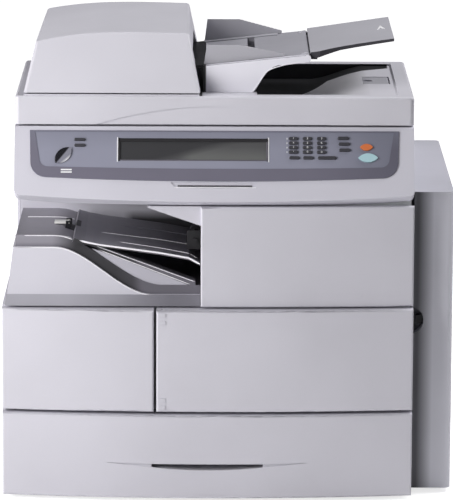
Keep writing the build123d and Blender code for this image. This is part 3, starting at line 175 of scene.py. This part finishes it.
def metal(name, colour, rough=(0.25, 0.4)):
    """Brushed metal with streaks along X."""
    m, tree, shader = new_material(name)
    shader.inputs["Metallic"].default_value = 1.0
    streak = node(tree, "ShaderNodeMapping")
    streak.inputs["Scale"].default_value = (4, 900, 900)
    tree.links.new(coordinates(tree), streak.inputs["Vector"])
    n = node(tree, "ShaderNodeTexNoise")
    n.inputs["Scale"].default_value = 3.0
    tree.links.new(streak.outputs["Vector"], n.inputs["Vector"])
    colours = ramp(tree, n.outputs["Fac"], [(0.3, shade(colour, 0.9)), (0.7, shade(colour, 1.08))])
    tree.links.new(colours, shader.inputs["Base Color"])
    rough_range(tree, shader, rough[0], rough[1], 90.0)
    return m


EDGE_HALF = 0.05 * MM


def plane_mix(name, origin, normal, level, below, above, rough=(0.44, 0.54)):
    """A plastic whose colour changes where the surface passes a level above a plane."""
    m, tree, shader = new_material(name)
    minus = node(tree, "ShaderNodeVectorMath", operation="SUBTRACT")
    minus.inputs[1].default_value = origin
    tree.links.new(coordinates(tree), minus.inputs[0])
    dot = node(tree, "ShaderNodeVectorMath", operation="DOT_PRODUCT")
    dot.inputs[1].default_value = normal
    tree.links.new(minus.outputs["Vector"], dot.inputs[0])
    edge = node(tree, "ShaderNodeMapRange")
    edge.inputs["From Min"].default_value = level - EDGE_HALF
    edge.inputs["From Max"].default_value = level + EDGE_HALF
    tree.links.new(dot.outputs["Value"], edge.inputs["Value"])
    mix = node(tree, "ShaderNodeMix", data_type="RGBA")
    spots = noise(tree, 9.0, 2.0)
    low = ramp(tree, spots, [(0.3, shade(below, 0.97)), (0.7, shade(below, 1.04))])
    high = ramp(tree, spots, [(0.3, shade(above, 0.96)), (0.7, shade(above, 1.05))])
    tree.links.new(edge.outputs["Result"], mix.inputs["Factor"])
    tree.links.new(low, mix.inputs["A"])
    tree.links.new(high, mix.inputs["B"])
    tree.links.new(mix.outputs["Result"], shader.inputs["Base Color"])
    rough_range(tree, shader, rough[0], rough[1], 70.0)
    grain(tree, shader, 3000.0, 0.08)
    return m


# Ways that a half space or a facing test points
RIGHT, LEFT = (1, 0, 0), (-1, 0, 0)
BACK, FRONT = (0, 1, 0), (0, -1, 0)
UP, DOWN = (0, 0, 1), (0, 0, -1)
FRONT_SLOPE = (0, -0.63, 0.78)

BODY = (0.615, 0.605, 0.665)
light = plastic("light_cover", BODY)
BLACK = (0.012, 0.0118, 0.0145)
lid_light = zoned(
    "lid_light",
    (0.65, 0.64, 0.70),
    [
        # Up-facing ramp between X = 100 and 185 mm is lighter: painted light lifting it out of the arms'
        # shadow.
        (
            (0.92, 0.91, 0.97),
            [(RIGHT, 100), (LEFT, -185), (BACK, -115), (FRONT, -70)],
            [(UP, 0.7)],
            18,
        ),
        (
            BLACK,
            [(RIGHT, -26), ((-0.928, 0.373, 0), -103.5), (BACK, -133.2), (FRONT, -124.4), (DOWN, -554.4)],
            [],
            0.3,
        ),
        (
            BLACK,
            [
                (RIGHT, 110), (BACK, 74), ((-0.514, 0.857, 0), -30),
                (LEFT, -228), (FRONT, -124.8), (DOWN, -554.4),
            ],
            [],
            0.6,
        ),
        (
            BLACK,
            [(BACK, 122), (FRONT, -125.5), (RIGHT, -26), (LEFT, -226), (DOWN, -554.4)],
            [(FRONT, 0.6)],
            0.3,
        ),
    ],
    rough=(0.38, 0.5),
)
cover_light = plastic("cover_light", (0.65, 0.64, 0.70), rough=(0.38, 0.5))
base_light = zoned(
    "base_light",
    (0.66, 0.65, 0.71),
    [
        (BLACK, [(LEFT, 31.8), (UP, 557.2)], [], 0.2),
        (BLACK, [(LEFT, 31.8), (RIGHT, -40.5)], [], 0.2),
        # On the arms right of X = -31 mm: up-facing faces darker as painted shade, front faces lighter as
        # painted light.
        ((0.40, 0.395, 0.44), [(RIGHT, -31)], [(UP, 0.6)], 0.5),
        ((0.86, 0.85, 0.92), [(RIGHT, -31)], [(FRONT, 0.8)], 0.5),
    ],
    rough=(0.38, 0.5),
)
console_light = plastic("console_light", (0.62, 0.61, 0.68), rough=(0.46, 0.58))
side_light = zoned(
    "side_light",
    (0.58, 0.575, 0.64),
    [
        # Front faces of the side door and side tray: lighter beyond X = 270 mm as painted light, near black
        # between X = 250 and 271 mm as painted shadow of the body beside them.
        ((0.72, 0.715, 0.79), [(RIGHT, 270)], [(FRONT, 0.5)], 12),
        ((0.03, 0.03, 0.036), [(LEFT, -271), (RIGHT, 250)], [(FRONT, 0.5)], 12),
    ],
)
bin_front = zoned(
    "bin_front",
    (0.63, 0.62, 0.685),
    [
        # Up-and-front-facing faces: darker below 290 mm as painted shade under the overhang, darker still
        # right of X = -150 mm as painted shadow of the scanner.
        ((0.40, 0.395, 0.44), [(DOWN, -290)], [(FRONT_SLOPE, 0.85)], 3),
        ((0.20, 0.195, 0.225), [(RIGHT, -150), (DOWN, -360)], [(FRONT_SLOPE, 0.85)], 70),
    ],
)
# Back wall of the bin: near black below 353 mm and right of X = -142 mm, a painted shadow.
bin_back = zoned(
    "bin_back", (0.63, 0.62, 0.685), [((0.05, 0.049, 0.055), [(DOWN, -353), (RIGHT, -142)], [], 7)]
)
tray_grey = plastic("tray_grey", (0.42, 0.415, 0.46), rough=(0.4, 0.52))
guide_grey = plastic("guide_grey", (0.47, 0.465, 0.51), rough=(0.4, 0.5))
# Near black on the input tray's front-facing and down-facing faces: painted shade on its front rim and
# underside.
TRAY_PAINTED_SHADE = (0.05, 0.048, 0.058)
tray_look = zoned(
    "tray_look",
    (0.46, 0.455, 0.50),
    [(TRAY_PAINTED_SHADE, [], [(FRONT, 0.5)], 1.0), (TRAY_PAINTED_SHADE, [], [(DOWN, 0.3)], 1.0)],
    rough=(0.4, 0.52),
)
bin_tray = zoned(
    "bin_tray",
    (0.125, 0.118, 0.142),
    [
        # Painted light and shade in the bin: up-facing faces left of X = -120 mm and the front of the left
        # shelf are lighter as painted light; front-facing faces in the middle are near black and those at the
        # lower right dark grey, as painted shade under the scanner; a black patch round the stopper is painted
        # shade in its pocket.
        ((0.29, 0.283, 0.325), [(LEFT, 120)], [(UP, 0.5)], 45),
        ((0.30, 0.29, 0.33), [(LEFT, 212)], [(UP, 0.5)], 3),
        ((0.28, 0.27, 0.31), [(LEFT, 200), (UP, 346)], [(FRONT, 0.5)], 6),
        ((0.14, 0.135, 0.16), [(FRONT, 206), (DOWN, -310), (RIGHT, -120)], [(FRONT, 0.5)], 14),
        (BLACK, [(FRONT, 206), (DOWN, -350), (LEFT, 125)], [(FRONT, 0.5)], 7),
        ((0.030, 0.029, 0.034), [(FRONT, 190), (RIGHT, -226), (LEFT, 138)], [(FRONT, 0.5)], 16),
        (BLACK, [(RIGHT, -227), (LEFT, 205), (BACK, -122), (FRONT, 80)], [], 0.4),
    ],
    rough=(0.42, 0.55),
    tone=0.08,
)
bin_dark = plastic("bin_dark", (0.105, 0.098, 0.118), rough=(0.42, 0.55), tone=0.08)
black = plastic("inner_black", (0.016, 0.015, 0.018), rough=(0.45, 0.6), tone=0.1)
frame_paint = plastic("frame_steel", (0.42, 0.43, 0.45), rough=(0.35, 0.45), grain_scale=900.0, bump=0.06)
rubber = plastic("rubber_black", (0.02, 0.02, 0.021), rough=(0.7, 0.85), grain_scale=1400.0, bump=0.25)
roller_rubber = plastic("roller_rubber", (0.07, 0.07, 0.075), rough=(0.6, 0.8), grain_scale=1600.0, bump=0.3)
steel = metal("rail_steel", (0.62, 0.62, 0.64))
key_light = plastic("key_light", (0.055, 0.054, 0.064), rough=(0.3, 0.4), coat=0.3)
key_dark = zoned(
    "key_dark",
    (0.24, 0.24, 0.29),
    [
        # Menu key: a dark crescent at the upper left and a painted highlight at the lower right.
        ((0.012, 0.012, 0.016), [((-0.75, 0, 0.66), 485.2)], [], 0.8),
        ((0.75, 0.75, 0.78), [((0.6, 0, -0.8), -511.5)], [], 1.6),
    ],
    rough=(0.2, 0.32),
    coat=0.5,
)
key_orange = plastic("key_orange", (0.72, 0.20, 0.07), rough=(0.25, 0.35), coat=0.5)
key_cyan = plastic("key_cyan", (0.46, 0.68, 0.74), rough=(0.25, 0.35), coat=0.5)
pad_white = plastic("pad_white", (0.82, 0.82, 0.80), rough=(0.55, 0.7))
# Near black for the painted shadow along the grip notch.
painted_shadow_dark = plastic("painted_shadow_dark", (0.025, 0.025, 0.03), rough=(0.5, 0.6))
# Light for print, and for painted highlights on the screen rims and the keys.
print_and_highlight = plastic("print_and_highlight", (0.86, 0.86, 0.88), rough=(0.5, 0.6))
# Near white for painted highlight lines along edges and on ribs.
painted_highlight_white = plastic("painted_highlight_white", (0.93, 0.92, 0.96), rough=(0.3, 0.4))
rib_grey = plastic("rib_grey", (0.22, 0.215, 0.25), rough=(0.35, 0.45))
leaf_grey = plastic("leaf_grey", (0.48, 0.47, 0.53), rough=(0.4, 0.5))

# The slanted face of the control panel, in mm: how far it runs back and how far it drops
face_run, face_drop = 50.0, 86.3
face_length = math.hypot(face_run, face_drop)
face_origin = Vector((-19.5, -182, 514)) * MM
face_up = Vector((0, face_run, face_drop)) / face_length
face_out = Vector((0, -face_drop, face_run)) / face_length
INSET_RISE = 0.95
panel_mat = plane_mix(
    "dark_panel",
    face_origin,
    face_out,
    INSET_RISE * MM,
    (0.275, 0.280, 0.355),
    (0.160, 0.153, 0.200),
)
inset_level = face_out.dot(face_origin) / MM + INSET_RISE
add_zones(
    panel_mat,
    [
        ((0.075, 0.076, 0.105), [(tuple(face_out), inset_level), (RIGHT, 175)], [], 60),
        ((0.20, 0.205, 0.26), [(tuple(-face_out), -inset_level), (UP, 497)], [], 12),
    ],
)

screen_mat, tree, shader = new_material("screen_lcd")
glow = ramp(tree, noise(tree, 12.0, 2.0), [(0.3, (0.085, 0.085, 0.090)), (0.7, (0.115, 0.115, 0.118))])
tree.links.new(glow, shader.inputs["Base Color"])
rough_range(tree, shader, 0.25, 0.35, 40.0)
shader.inputs["Coat Weight"].default_value = 0.3
shader.inputs["Coat Roughness"].default_value = 0.2
add_zones(
    screen_mat,
    [
        # Lighter towards the lower right, and a dark band along the top as painted shade below the recess
        # edge.
        ((0.165, 0.170, 0.165), [(DOWN, -479), (RIGHT, -60)], [], 9),
        ((0.05, 0.05, 0.054), [((-0.25, 0, 1), 494)], [], 5),
    ],
)

glass, tree, shader = new_material("glass_clear")
tint = ramp(tree, noise(tree, 30.0), [(0.3, (0.80, 0.90, 0.90)), (0.7, (0.88, 0.95, 0.95))])
tree.links.new(tint, shader.inputs["Base Color"])
shader.inputs["Transmission Weight"].default_value = 0.85
shader.inputs["IOR"].default_value = 1.5
rough_range(tree, shader, 0.02, 0.05, 25.0)

looks = {
    "light_cover": light,
    "console_light": console_light,
    "dark_panel": panel_mat,
    "bin_dark": bin_dark,
    "inner_black": black,
    "frame_steel": frame_paint,
    "rubber_black": rubber,
    "roller_rubber": roller_rubber,
    "glass_clear": glass,
    "rail_steel": steel,
    "screen_lcd": screen_mat,
    "key_light": key_light,
    "key_orange": key_orange,
    "key_cyan": key_cyan,
    "key_dark": key_dark,
    "pad_white": pad_white,
    "tray_grey": tray_grey,
}
special = {
    "lid_shell": lid_light,
    "adf_cover": cover_light,
    "adf_base": base_light,
    "output_bin": bin_tray,
    "adf_input_tray": tray_look,
    # The bin stopper takes the white pad look: a painted highlight on the small lever.
    "bin_stopper": pad_white,
    "exit_roller": black,
    "side_door": side_light,
    "mp_tray": side_light,
    "bin_front_cover": bin_front,
    "bin_back_cover": bin_back,
    "front_paper_guide": guide_grey,
    "rear_paper_guide": guide_grey,
}
# Each node takes the look of its slot, or its own look where the photograph asks for one
slots = {s["node"]: s["material_slot"] for s in frame["record"]["subparts"]}
for name, obj in nodes.items():
    look = special.get(name) or looks[slots[name]]
    obj.data.materials.clear()
    obj.data.materials.append(look)
    for p in obj.data.polygons:
        p.material_index = 0

# Helpers for added pieces


def piece(name, verts, faces, material, body, smooth=False):
    """A new mesh object that rides on a body."""
    mesh = bpy.data.meshes.new(name)
    mesh.from_pydata([tuple(v) for v in verts], [], faces)
    mesh.update()
    obj = bpy.data.objects.new(name, mesh)
    bpy.context.scene.collection.objects.link(obj)
    mesh.materials.append(material)
    for p in mesh.polygons:
        p.use_smooth = smooth
    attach(obj, body)
    return obj


def smooth_line(points, steps=10):
    """Points on a smooth line through the given ones."""
    out = []
    n = len(points)
    for i in range(n - 1):
        p0 = points[max(i - 1, 0)]
        p1, p2 = points[i], points[i + 1]
        p3 = points[min(i + 2, n - 1)]
        for k in range(steps):
            t = k / steps
            out.append(
                tuple(
                    0.5
                    * (
                        2 * b
                        + (c - a) * t
                        + (2 * a - 5 * b + 4 * c - d) * t**2
                        + (3 * b - a - 3 * c + d) * t**3
                    )
                    for a, b, c, d in zip(p0, p1, p2, p3)
                )
            )
    out.append(tuple(points[-1]))
    return out


ROUND_STEPS = 6
END_TAPER = 0.35


def ridge(name, points, width, rise, out, material, body):
    """A low rounded ridge along a line of points. out is the way it stands up."""
    out = Vector(out).normalized()
    verts, faces = [], []
    n = len(points)
    rows = []
    for i in range(n):
        a = Vector(points[max(i - 1, 0)])
        b = Vector(points[min(i + 1, n - 1)])
        along = (b - a).normalized()
        across = along.cross(out).normalized()
        p = Vector(points[i])
        taper = END_TAPER if i in (0, n - 1) else 1.0
        row = []
        for k in range(ROUND_STEPS + 1):
            ang = math.pi * k / ROUND_STEPS
            row.append(len(verts))
            verts.append(
                (p + across * (width / 2 * math.cos(ang) * taper) + out * (rise * math.sin(ang) * taper)) * MM
            )
        rows.append(row)
    for i in range(n - 1):
        for k in range(ROUND_STEPS):
            faces.append((rows[i][k], rows[i][k + 1], rows[i + 1][k + 1], rows[i + 1][k]))
        faces.append((rows[i][-1], rows[i][0], rows[i + 1][0], rows[i + 1][-1]))
    faces.append(tuple(rows[0]))
    faces.append(tuple(reversed(rows[-1])))
    return piece(name, verts, faces, material, body, smooth=True)


def on_face(u, v, h):
    """A place on the slanted face: u across, v down it and h out of it, in mm."""
    return face_origin + Vector((u * MM, 0, 0)) - face_up * (v * MM) + face_out * (h * MM)


def print_text(name, text, u, v, h, size, material, body):
    """Letters lying on the slanted face."""
    curve = bpy.data.curves.new(name, "FONT")
    curve.body = text
    curve.size = size * MM
    curve.align_x = "CENTER"
    curve.align_y = "CENTER"
    curve.extrude = 0.04 * MM
    obj = bpy.data.objects.new(name, curve)
    bpy.context.scene.collection.objects.link(obj)
    turn = Matrix((Vector((1, 0, 0)), face_up, face_out)).transposed().to_4x4()
    obj.matrix_world = Matrix.Translation(on_face(u, v, h)) @ turn
    curve.materials.append(material)
    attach(obj, body)
    return obj


# Control panel: key legends, screen edge and printed marks

columns = (108.0, 127.1, 146.4)
rows = (17.7, 24.2, 30.7, 37.3)
legends = ("1", "2", "3", "4", "5", "6", "7", "8", "9", "*", "0", "#")
keys = ("1", "2", "3", "4", "5", "6", "7", "8", "9", "star", "0", "hash")
places = [(u, v) for v in rows for u in columns]
KEY_TOP, LEGEND_SIZE = 2.66, 4.2
# Printed digits on the keys, made light enough to stand in for the keys' highlights too: print and painted
# highlight.
for key, legend, (u, v) in zip(keys, legends, places):
    print_text(f"legend_{key}", legend, u, v, KEY_TOP, LEGEND_SIZE, print_and_highlight, f"key_{key}")


def face_bar(name, u0, u1, v0, v1, h, rise, material, body):
    """A low bar with bevelled sides lying on the slanted face."""
    e = min(0.5, (v1 - v0) / 3)
    low = [on_face(u, v, h) for u, v in ((u0, v0), (u1, v0), (u1, v1), (u0, v1))]
    top = [
        on_face(u, v, h + rise)
        for u, v in ((u0 + e, v0 + e), (u1 - e, v0 + e), (u1 - e, v1 - e), (u0 + e, v1 - e))
    ]
    faces = [(0, 3, 2, 1), (4, 5, 6, 7)] + [(i, (i + 1) % 4, 4 + (i + 1) % 4, 4 + i) for i in range(4)]
    return piece(name, low + top, faces, material, body)


# Screen: its left, right, top and lower edges on the face; the black top and left edges are painted shade in
# the recess, the light rims at left and right are painted highlights
s0, s1, t0, t1 = -129.5, 71.5, 19.4, 49.0
face_bar("screen_edge_top", s0 - 2, s1 + 2, t0 - 1.6, t0 + 3.6, 0.72, 0.7, black, "frame")
face_bar("screen_rim_left", s0 - 3.6, s0 - 2.0, t0 - 3, t1 + 3, 0.72, 0.5, print_and_highlight, "frame")
face_bar("screen_rim_right", s1 + 1.8, s1 + 3.4, t0 - 3, t1 + 3, 0.72, 0.5, print_and_highlight, "frame")
face_bar("screen_edge_left", s0 - 2, s0 + 1.0, t0 - 2, t1 + 2, 0.72, 0.7, black, "frame")
face_bar("screen_edge_low", s0 - 2, s1 + 2, t1 - 0.4, t1 + 1.4, 0.72, 0.6, bin_dark, "frame")
face_bar("screen_edge_right", s1 - 0.6, s1 + 2, t0 - 2, t1 + 2, 0.72, 0.6, bin_dark, "frame")
for i, v in enumerate((63.0, 66.5)):
    face_bar(f"panel_label_{i}", -209.5, -194.5, v, v + 2.0, 1.22, 0.12, print_and_highlight, "frame")
# A near black painted shadow line along the grip notch, and a near white painted highlight line below it.
face_bar("grip_shadow", -50, 51.5, 85.6, 87.4, -0.2, 0.4, painted_shadow_dark, "frame")
face_bar("grip_edge", -55, 57, 88.3, 89.5, -0.2, 0.5, painted_highlight_white, "frame")
for i, v in enumerate(rows):
    face_bar(f"row_mark_{i}", 98.7, 99.7, v - 1.2, v + 1.2, 0.72, 0.12, print_and_highlight, "frame")

# Output bin: painted highlight lines along edges, ribs coloured near white as painted highlights, and the
# plate beside the strut
FRONT_PLANE = -207.7
lip_points = ((-280, 366.0), (-258, 366.0), (-238, 366.0), (-226, 364.6), (-214, 360.8))
lip = smooth_line([(x, FRONT_PLANE, z) for x, z in lip_points], 6)
ridge("shelf_lip_edge", lip, 1.3, 0.5, FRONT, painted_highlight_white, "frame")
fall_start, fall_end, wall_high, wall_low = -238.4, -103.6, 351.0, 285.0
third = (fall_end - fall_start) / 3
WALL_FRONT, BELOW_TOP = -211.9, 0.9
edge_line = [(x, WALL_FRONT, wall_high - BELOW_TOP) for x in (-291.0, -262.0)]
for k in range(25):
    t = k / 24
    x = fall_start + third * (3 * t * (1 - t) ** 2 + 6 * t**2 * (1 - t) + 3 * t**3)
    z = wall_high + (wall_low - wall_high) * (3 * t**2 * (1 - t) + t**3)
    edge_line.append((x, WALL_FRONT, z - BELOW_TOP))
ridge("front_wall_edge", edge_line, 1.5, 0.4, FRONT, painted_highlight_white, "frame")
shelf_rib_points = ((-282, 0, 361.9), (-258, 0, 361.9), (-236, 0, 361.7), (-226, 1, 360.4), (-216, 3, 358.2))
for i, y in enumerate((-186, -50)):
    line = smooth_line([(x, y + shift, z) for x, shift, z in shelf_rib_points])
    ridge(f"shelf_rib_{i}", line, 2.0, 0.9, UP, painted_highlight_white, "frame")


def plate_z(x):
    """Height of the sloping paper plate in the output bin at a place across it."""
    line = ((-205, 362.6), (-197, 360), (-177, 356), (-94, 345), (-54, 338), (-38, 329))
    for (x0, z0), (x1, z1) in zip(line, line[1:]):
        if x <= x1:
            return z0 + (z1 - z0) * (x - x0) / (x1 - x0)
    return line[-1][1]


plate_ribs = (
    (-176, -131, -124, 2.2, painted_highlight_white),
    (-150, -182, -190, 2.2, painted_highlight_white),
    (-150, -64, -57, 1.6, rib_grey),
)
for i, (x0, y0, y1, width, look) in enumerate(plate_ribs):
    run = [x0 + k * (-42 - x0) / 24 for k in range(25)]
    line = [(x, y0 + (y1 - y0) * k / 24, plate_z(x) - 0.1) for k, x in enumerate(run)]
    ridge(f"plate_rib_{i}", line, width, 0.8, (0.13, 0, 1), look, "frame")
run = [-204 + k * 165.4 / 40 for k in range(41)]
ridge("plate_edge", [(x, -214.7, plate_z(x) - 1.2) for x in run], 2.6, 0.5, FRONT, painted_highlight_white, "frame")
for name, x0, z0, x1, z1 in (("high", -184, 352.8, -46, 302.2), ("low", -178, 346.6, -53, 298.6)):
    line = [(x0 + (x1 - x0) * k / 16, FRONT_PLANE, z0 + (z1 - z0) * k / 16) for k in range(17)]
    ridge(f"strut_line_{name}", line, 1.1, 0.4, FRONT, painted_highlight_white, "frame")


def upright_plate(name, upper, lower, y, thick, material, body):
    """A thin upright plate between two lines of points given across and up."""
    ring = upper + lower[::-1]
    n = len(ring)
    verts = [(x * MM, depth * MM, z * MM) for depth in (y, y + thick) for x, z in ring]
    faces = [tuple(range(n)), tuple(range(2 * n - 1, n - 1, -1))]
    faces += [(i, i + n, (i + 1) % n + n, (i + 1) % n) for i in range(n)]
    return piece(name, verts, faces, material, body)


leaf_high = [(-186, 348.0), (-150, 334.8), (-112, 320.0), (-84, 309.2), (-55, 297.6)]
leaf_low = [
    (-187, 348.0), (-173, 337.0), (-155, 319.5), (-135, 306.5), (-114, 299.5), (-92, 297.0), (-56, 296.2)
]
# An upright light grey plate at the front of the bin stands in for the up-facing paper plate behind it, which
# lies in shade: painted light.
upright_plate("bin_leaf", smooth_line(leaf_high, 4), smooth_line(leaf_low, 4), -206.6, 1.2, leaf_grey, "frame")

# Feeder: a painted highlight along the arm's arch, a strip at the joint of the deck and the input tray, and
# the arrow mark on the tray
arch = [(33.0, 555.6), (42.4, 569.3), (53.6, 585.0), (77.6, 593.6), (92, 595.9)]
arch_line = [(x, -139.9, z) for x, z in smooth_line(arch, 8)]
ridge("arm_arch_edge", arch_line, 1.6, 0.5, FRONT, painted_highlight_white, "lid")
strip_low = [(106.5, 601.4), (113.5, 601.8)]
strip_high = [(106.5, 604.2), (113.4, 604.6)]
upright_plate("deck_strip", strip_high, strip_low, -116, 192, tray_grey, "lid")
mark = [(-5.5, -8.0), (0.0, 6.0), (5.5, -8.0), (0.0, -2.5)]
MARK_X, MARK_Y, MARK_Z = 213.5, 6, 625.6
TRAY_SLOPE, MARK_STRETCH, MARK_THICK = 0.1457, 2.6, 1.2
tray_mark = [(MARK_X + u, MARK_Y + MARK_STRETCH * v, MARK_Z + TRAY_SLOPE * u) for u, v in mark]
low_mark = [(x, y, z - MARK_THICK) for x, y, z in tray_mark]
piece(
    "tray_mark",
    [Vector(v) * MM for v in tray_mark + low_mark],
    [(0, 3, 2, 1), (4, 5, 6, 7)] + [(i, (i + 1) % 4, 4 + (i + 1) % 4, 4 + i) for i in range(4)],
    print_and_highlight,
    "input_tray",
)

# Floor, light and camera
FLOOR_HALF = 6.0
floor_corners = [(a * FLOOR_HALF, b * FLOOR_HALF, 0) for a, b in ((-1, -1), (1, -1), (1, 1), (-1, 1))]
floor_mesh = bpy.data.meshes.new("floor")
floor_mesh.from_pydata(floor_corners, [], [(0, 1, 2, 3)])
floor = bpy.data.objects.new("floor", floor_mesh)
bpy.context.scene.collection.objects.link(floor)
floor_mat, tree, shader = new_material("floor_pale")
tone = ramp(tree, noise(tree, 1.2, 2.0), [(0.3, (0.90, 0.90, 0.90)), (0.7, (0.93, 0.93, 0.93))])
tree.links.new(tone, shader.inputs["Base Color"])
shader.inputs["Roughness"].default_value = 0.9
# Seen by the camera the floor is lifted towards white, less so near the object, where its shadow is
away = node(tree, "ShaderNodeVectorMath", operation="LENGTH")
tree.links.new(coordinates(tree), away.inputs[0])
reach = node(tree, "ShaderNodeMapRange")
reach.inputs["From Min"].default_value = 0.5
reach.inputs["From Max"].default_value = 1.6
reach.inputs["To Min"].default_value = 0.72
reach.inputs["To Max"].default_value = 1.0
tree.links.new(away.outputs["Value"], reach.inputs["Value"])
seen_by = node(tree, "ShaderNodeLightPath")
lift = node(tree, "ShaderNodeMath", operation="MULTIPLY")
tree.links.new(reach.outputs["Result"], lift.inputs[0])
tree.links.new(seen_by.outputs["Is Camera Ray"], lift.inputs[1])
tree.links.new(lift.outputs["Value"], shader.inputs["Emission Strength"])
shader.inputs["Emission Color"].default_value = (1, 1, 1, 1)
floor_mesh.materials.append(floor_mat)

world = bpy.data.worlds.new("studio")
bpy.context.scene.world = world
world.use_nodes = True
wt = world.node_tree
wt.nodes.clear()
path = node(wt, "ShaderNodeLightPath")
seen = node(wt, "ShaderNodeBackground")
seen.inputs["Color"].default_value = (1, 1, 1, 1)
seen.inputs["Strength"].default_value = 1.0
fill = node(wt, "ShaderNodeBackground")
fill.inputs["Color"].default_value = (0.93, 0.95, 1.0, 1)
fill.inputs["Strength"].default_value = 0.065
mix = node(wt, "ShaderNodeMixShader")
out = node(wt, "ShaderNodeOutputWorld")
wt.links.new(path.outputs["Is Camera Ray"], mix.inputs["Fac"])
wt.links.new(fill.outputs["Background"], mix.inputs[1])
wt.links.new(seen.outputs["Background"], mix.inputs[2])
wt.links.new(mix.outputs["Shader"], out.inputs["Surface"])


def area(name, place, target, side, power, colour=(1, 1, 1)):
    """A square lamp of a side in metres, turned to a target."""
    data = bpy.data.lights.new(name, "AREA")
    data.shape = "RECTANGLE"
    data.size = data.size_y = side
    data.energy = power
    data.color = colour
    obj = bpy.data.objects.new(name, data)
    bpy.context.scene.collection.objects.link(obj)
    obj.location = place
    obj.rotation_euler = (Vector(target) - Vector(place)).to_track_quat("-Z", "Y").to_euler()


area("key_light", (-1.7, -1.2, 1.1), (0, 0, 0.38), 1.4, 52, (1.0, 0.99, 0.985))
area("top_light", (1.4, 0.4, 2.1), (0.1, 0, 0.5), 1.2, 42)
area("right_fill", (1.6, -2.6, 0.9), (0.2, 0, 0.25), 1.2, 0.8)

# A long lens, its focal length given in pixels of the 453 by 500 frame
FOCAL_PX, FRAME_PX, SENSOR = 4180.0, 500, 36.0
CAMERA_PLACE = (-17, -5830, 1459)
PITCH, YAW, ROLL = 11.19, -0.148, 0.25
cam_data = bpy.data.cameras.new("camera")
cam = bpy.data.objects.new("camera", cam_data)
bpy.context.scene.collection.objects.link(cam)
bpy.context.scene.camera = cam
cam_data.sensor_fit = "AUTO"
cam_data.sensor_width = SENSOR
cam_data.lens = FOCAL_PX / FRAME_PX * SENSOR
cam_data.clip_end = 50
cam.location = Vector(CAMERA_PLACE) * MM
cam.rotation_mode = "XYZ"
turn = (
    Matrix.Rotation(math.radians(YAW), 3, "Z")
    @ Matrix.Rotation(math.radians(90 - PITCH), 3, "X")
    @ Matrix.Rotation(math.radians(ROLL), 3, "Z")
)
cam.rotation_euler = turn.to_euler()

bpy.context.scene.view_settings.view_transform = "Standard"
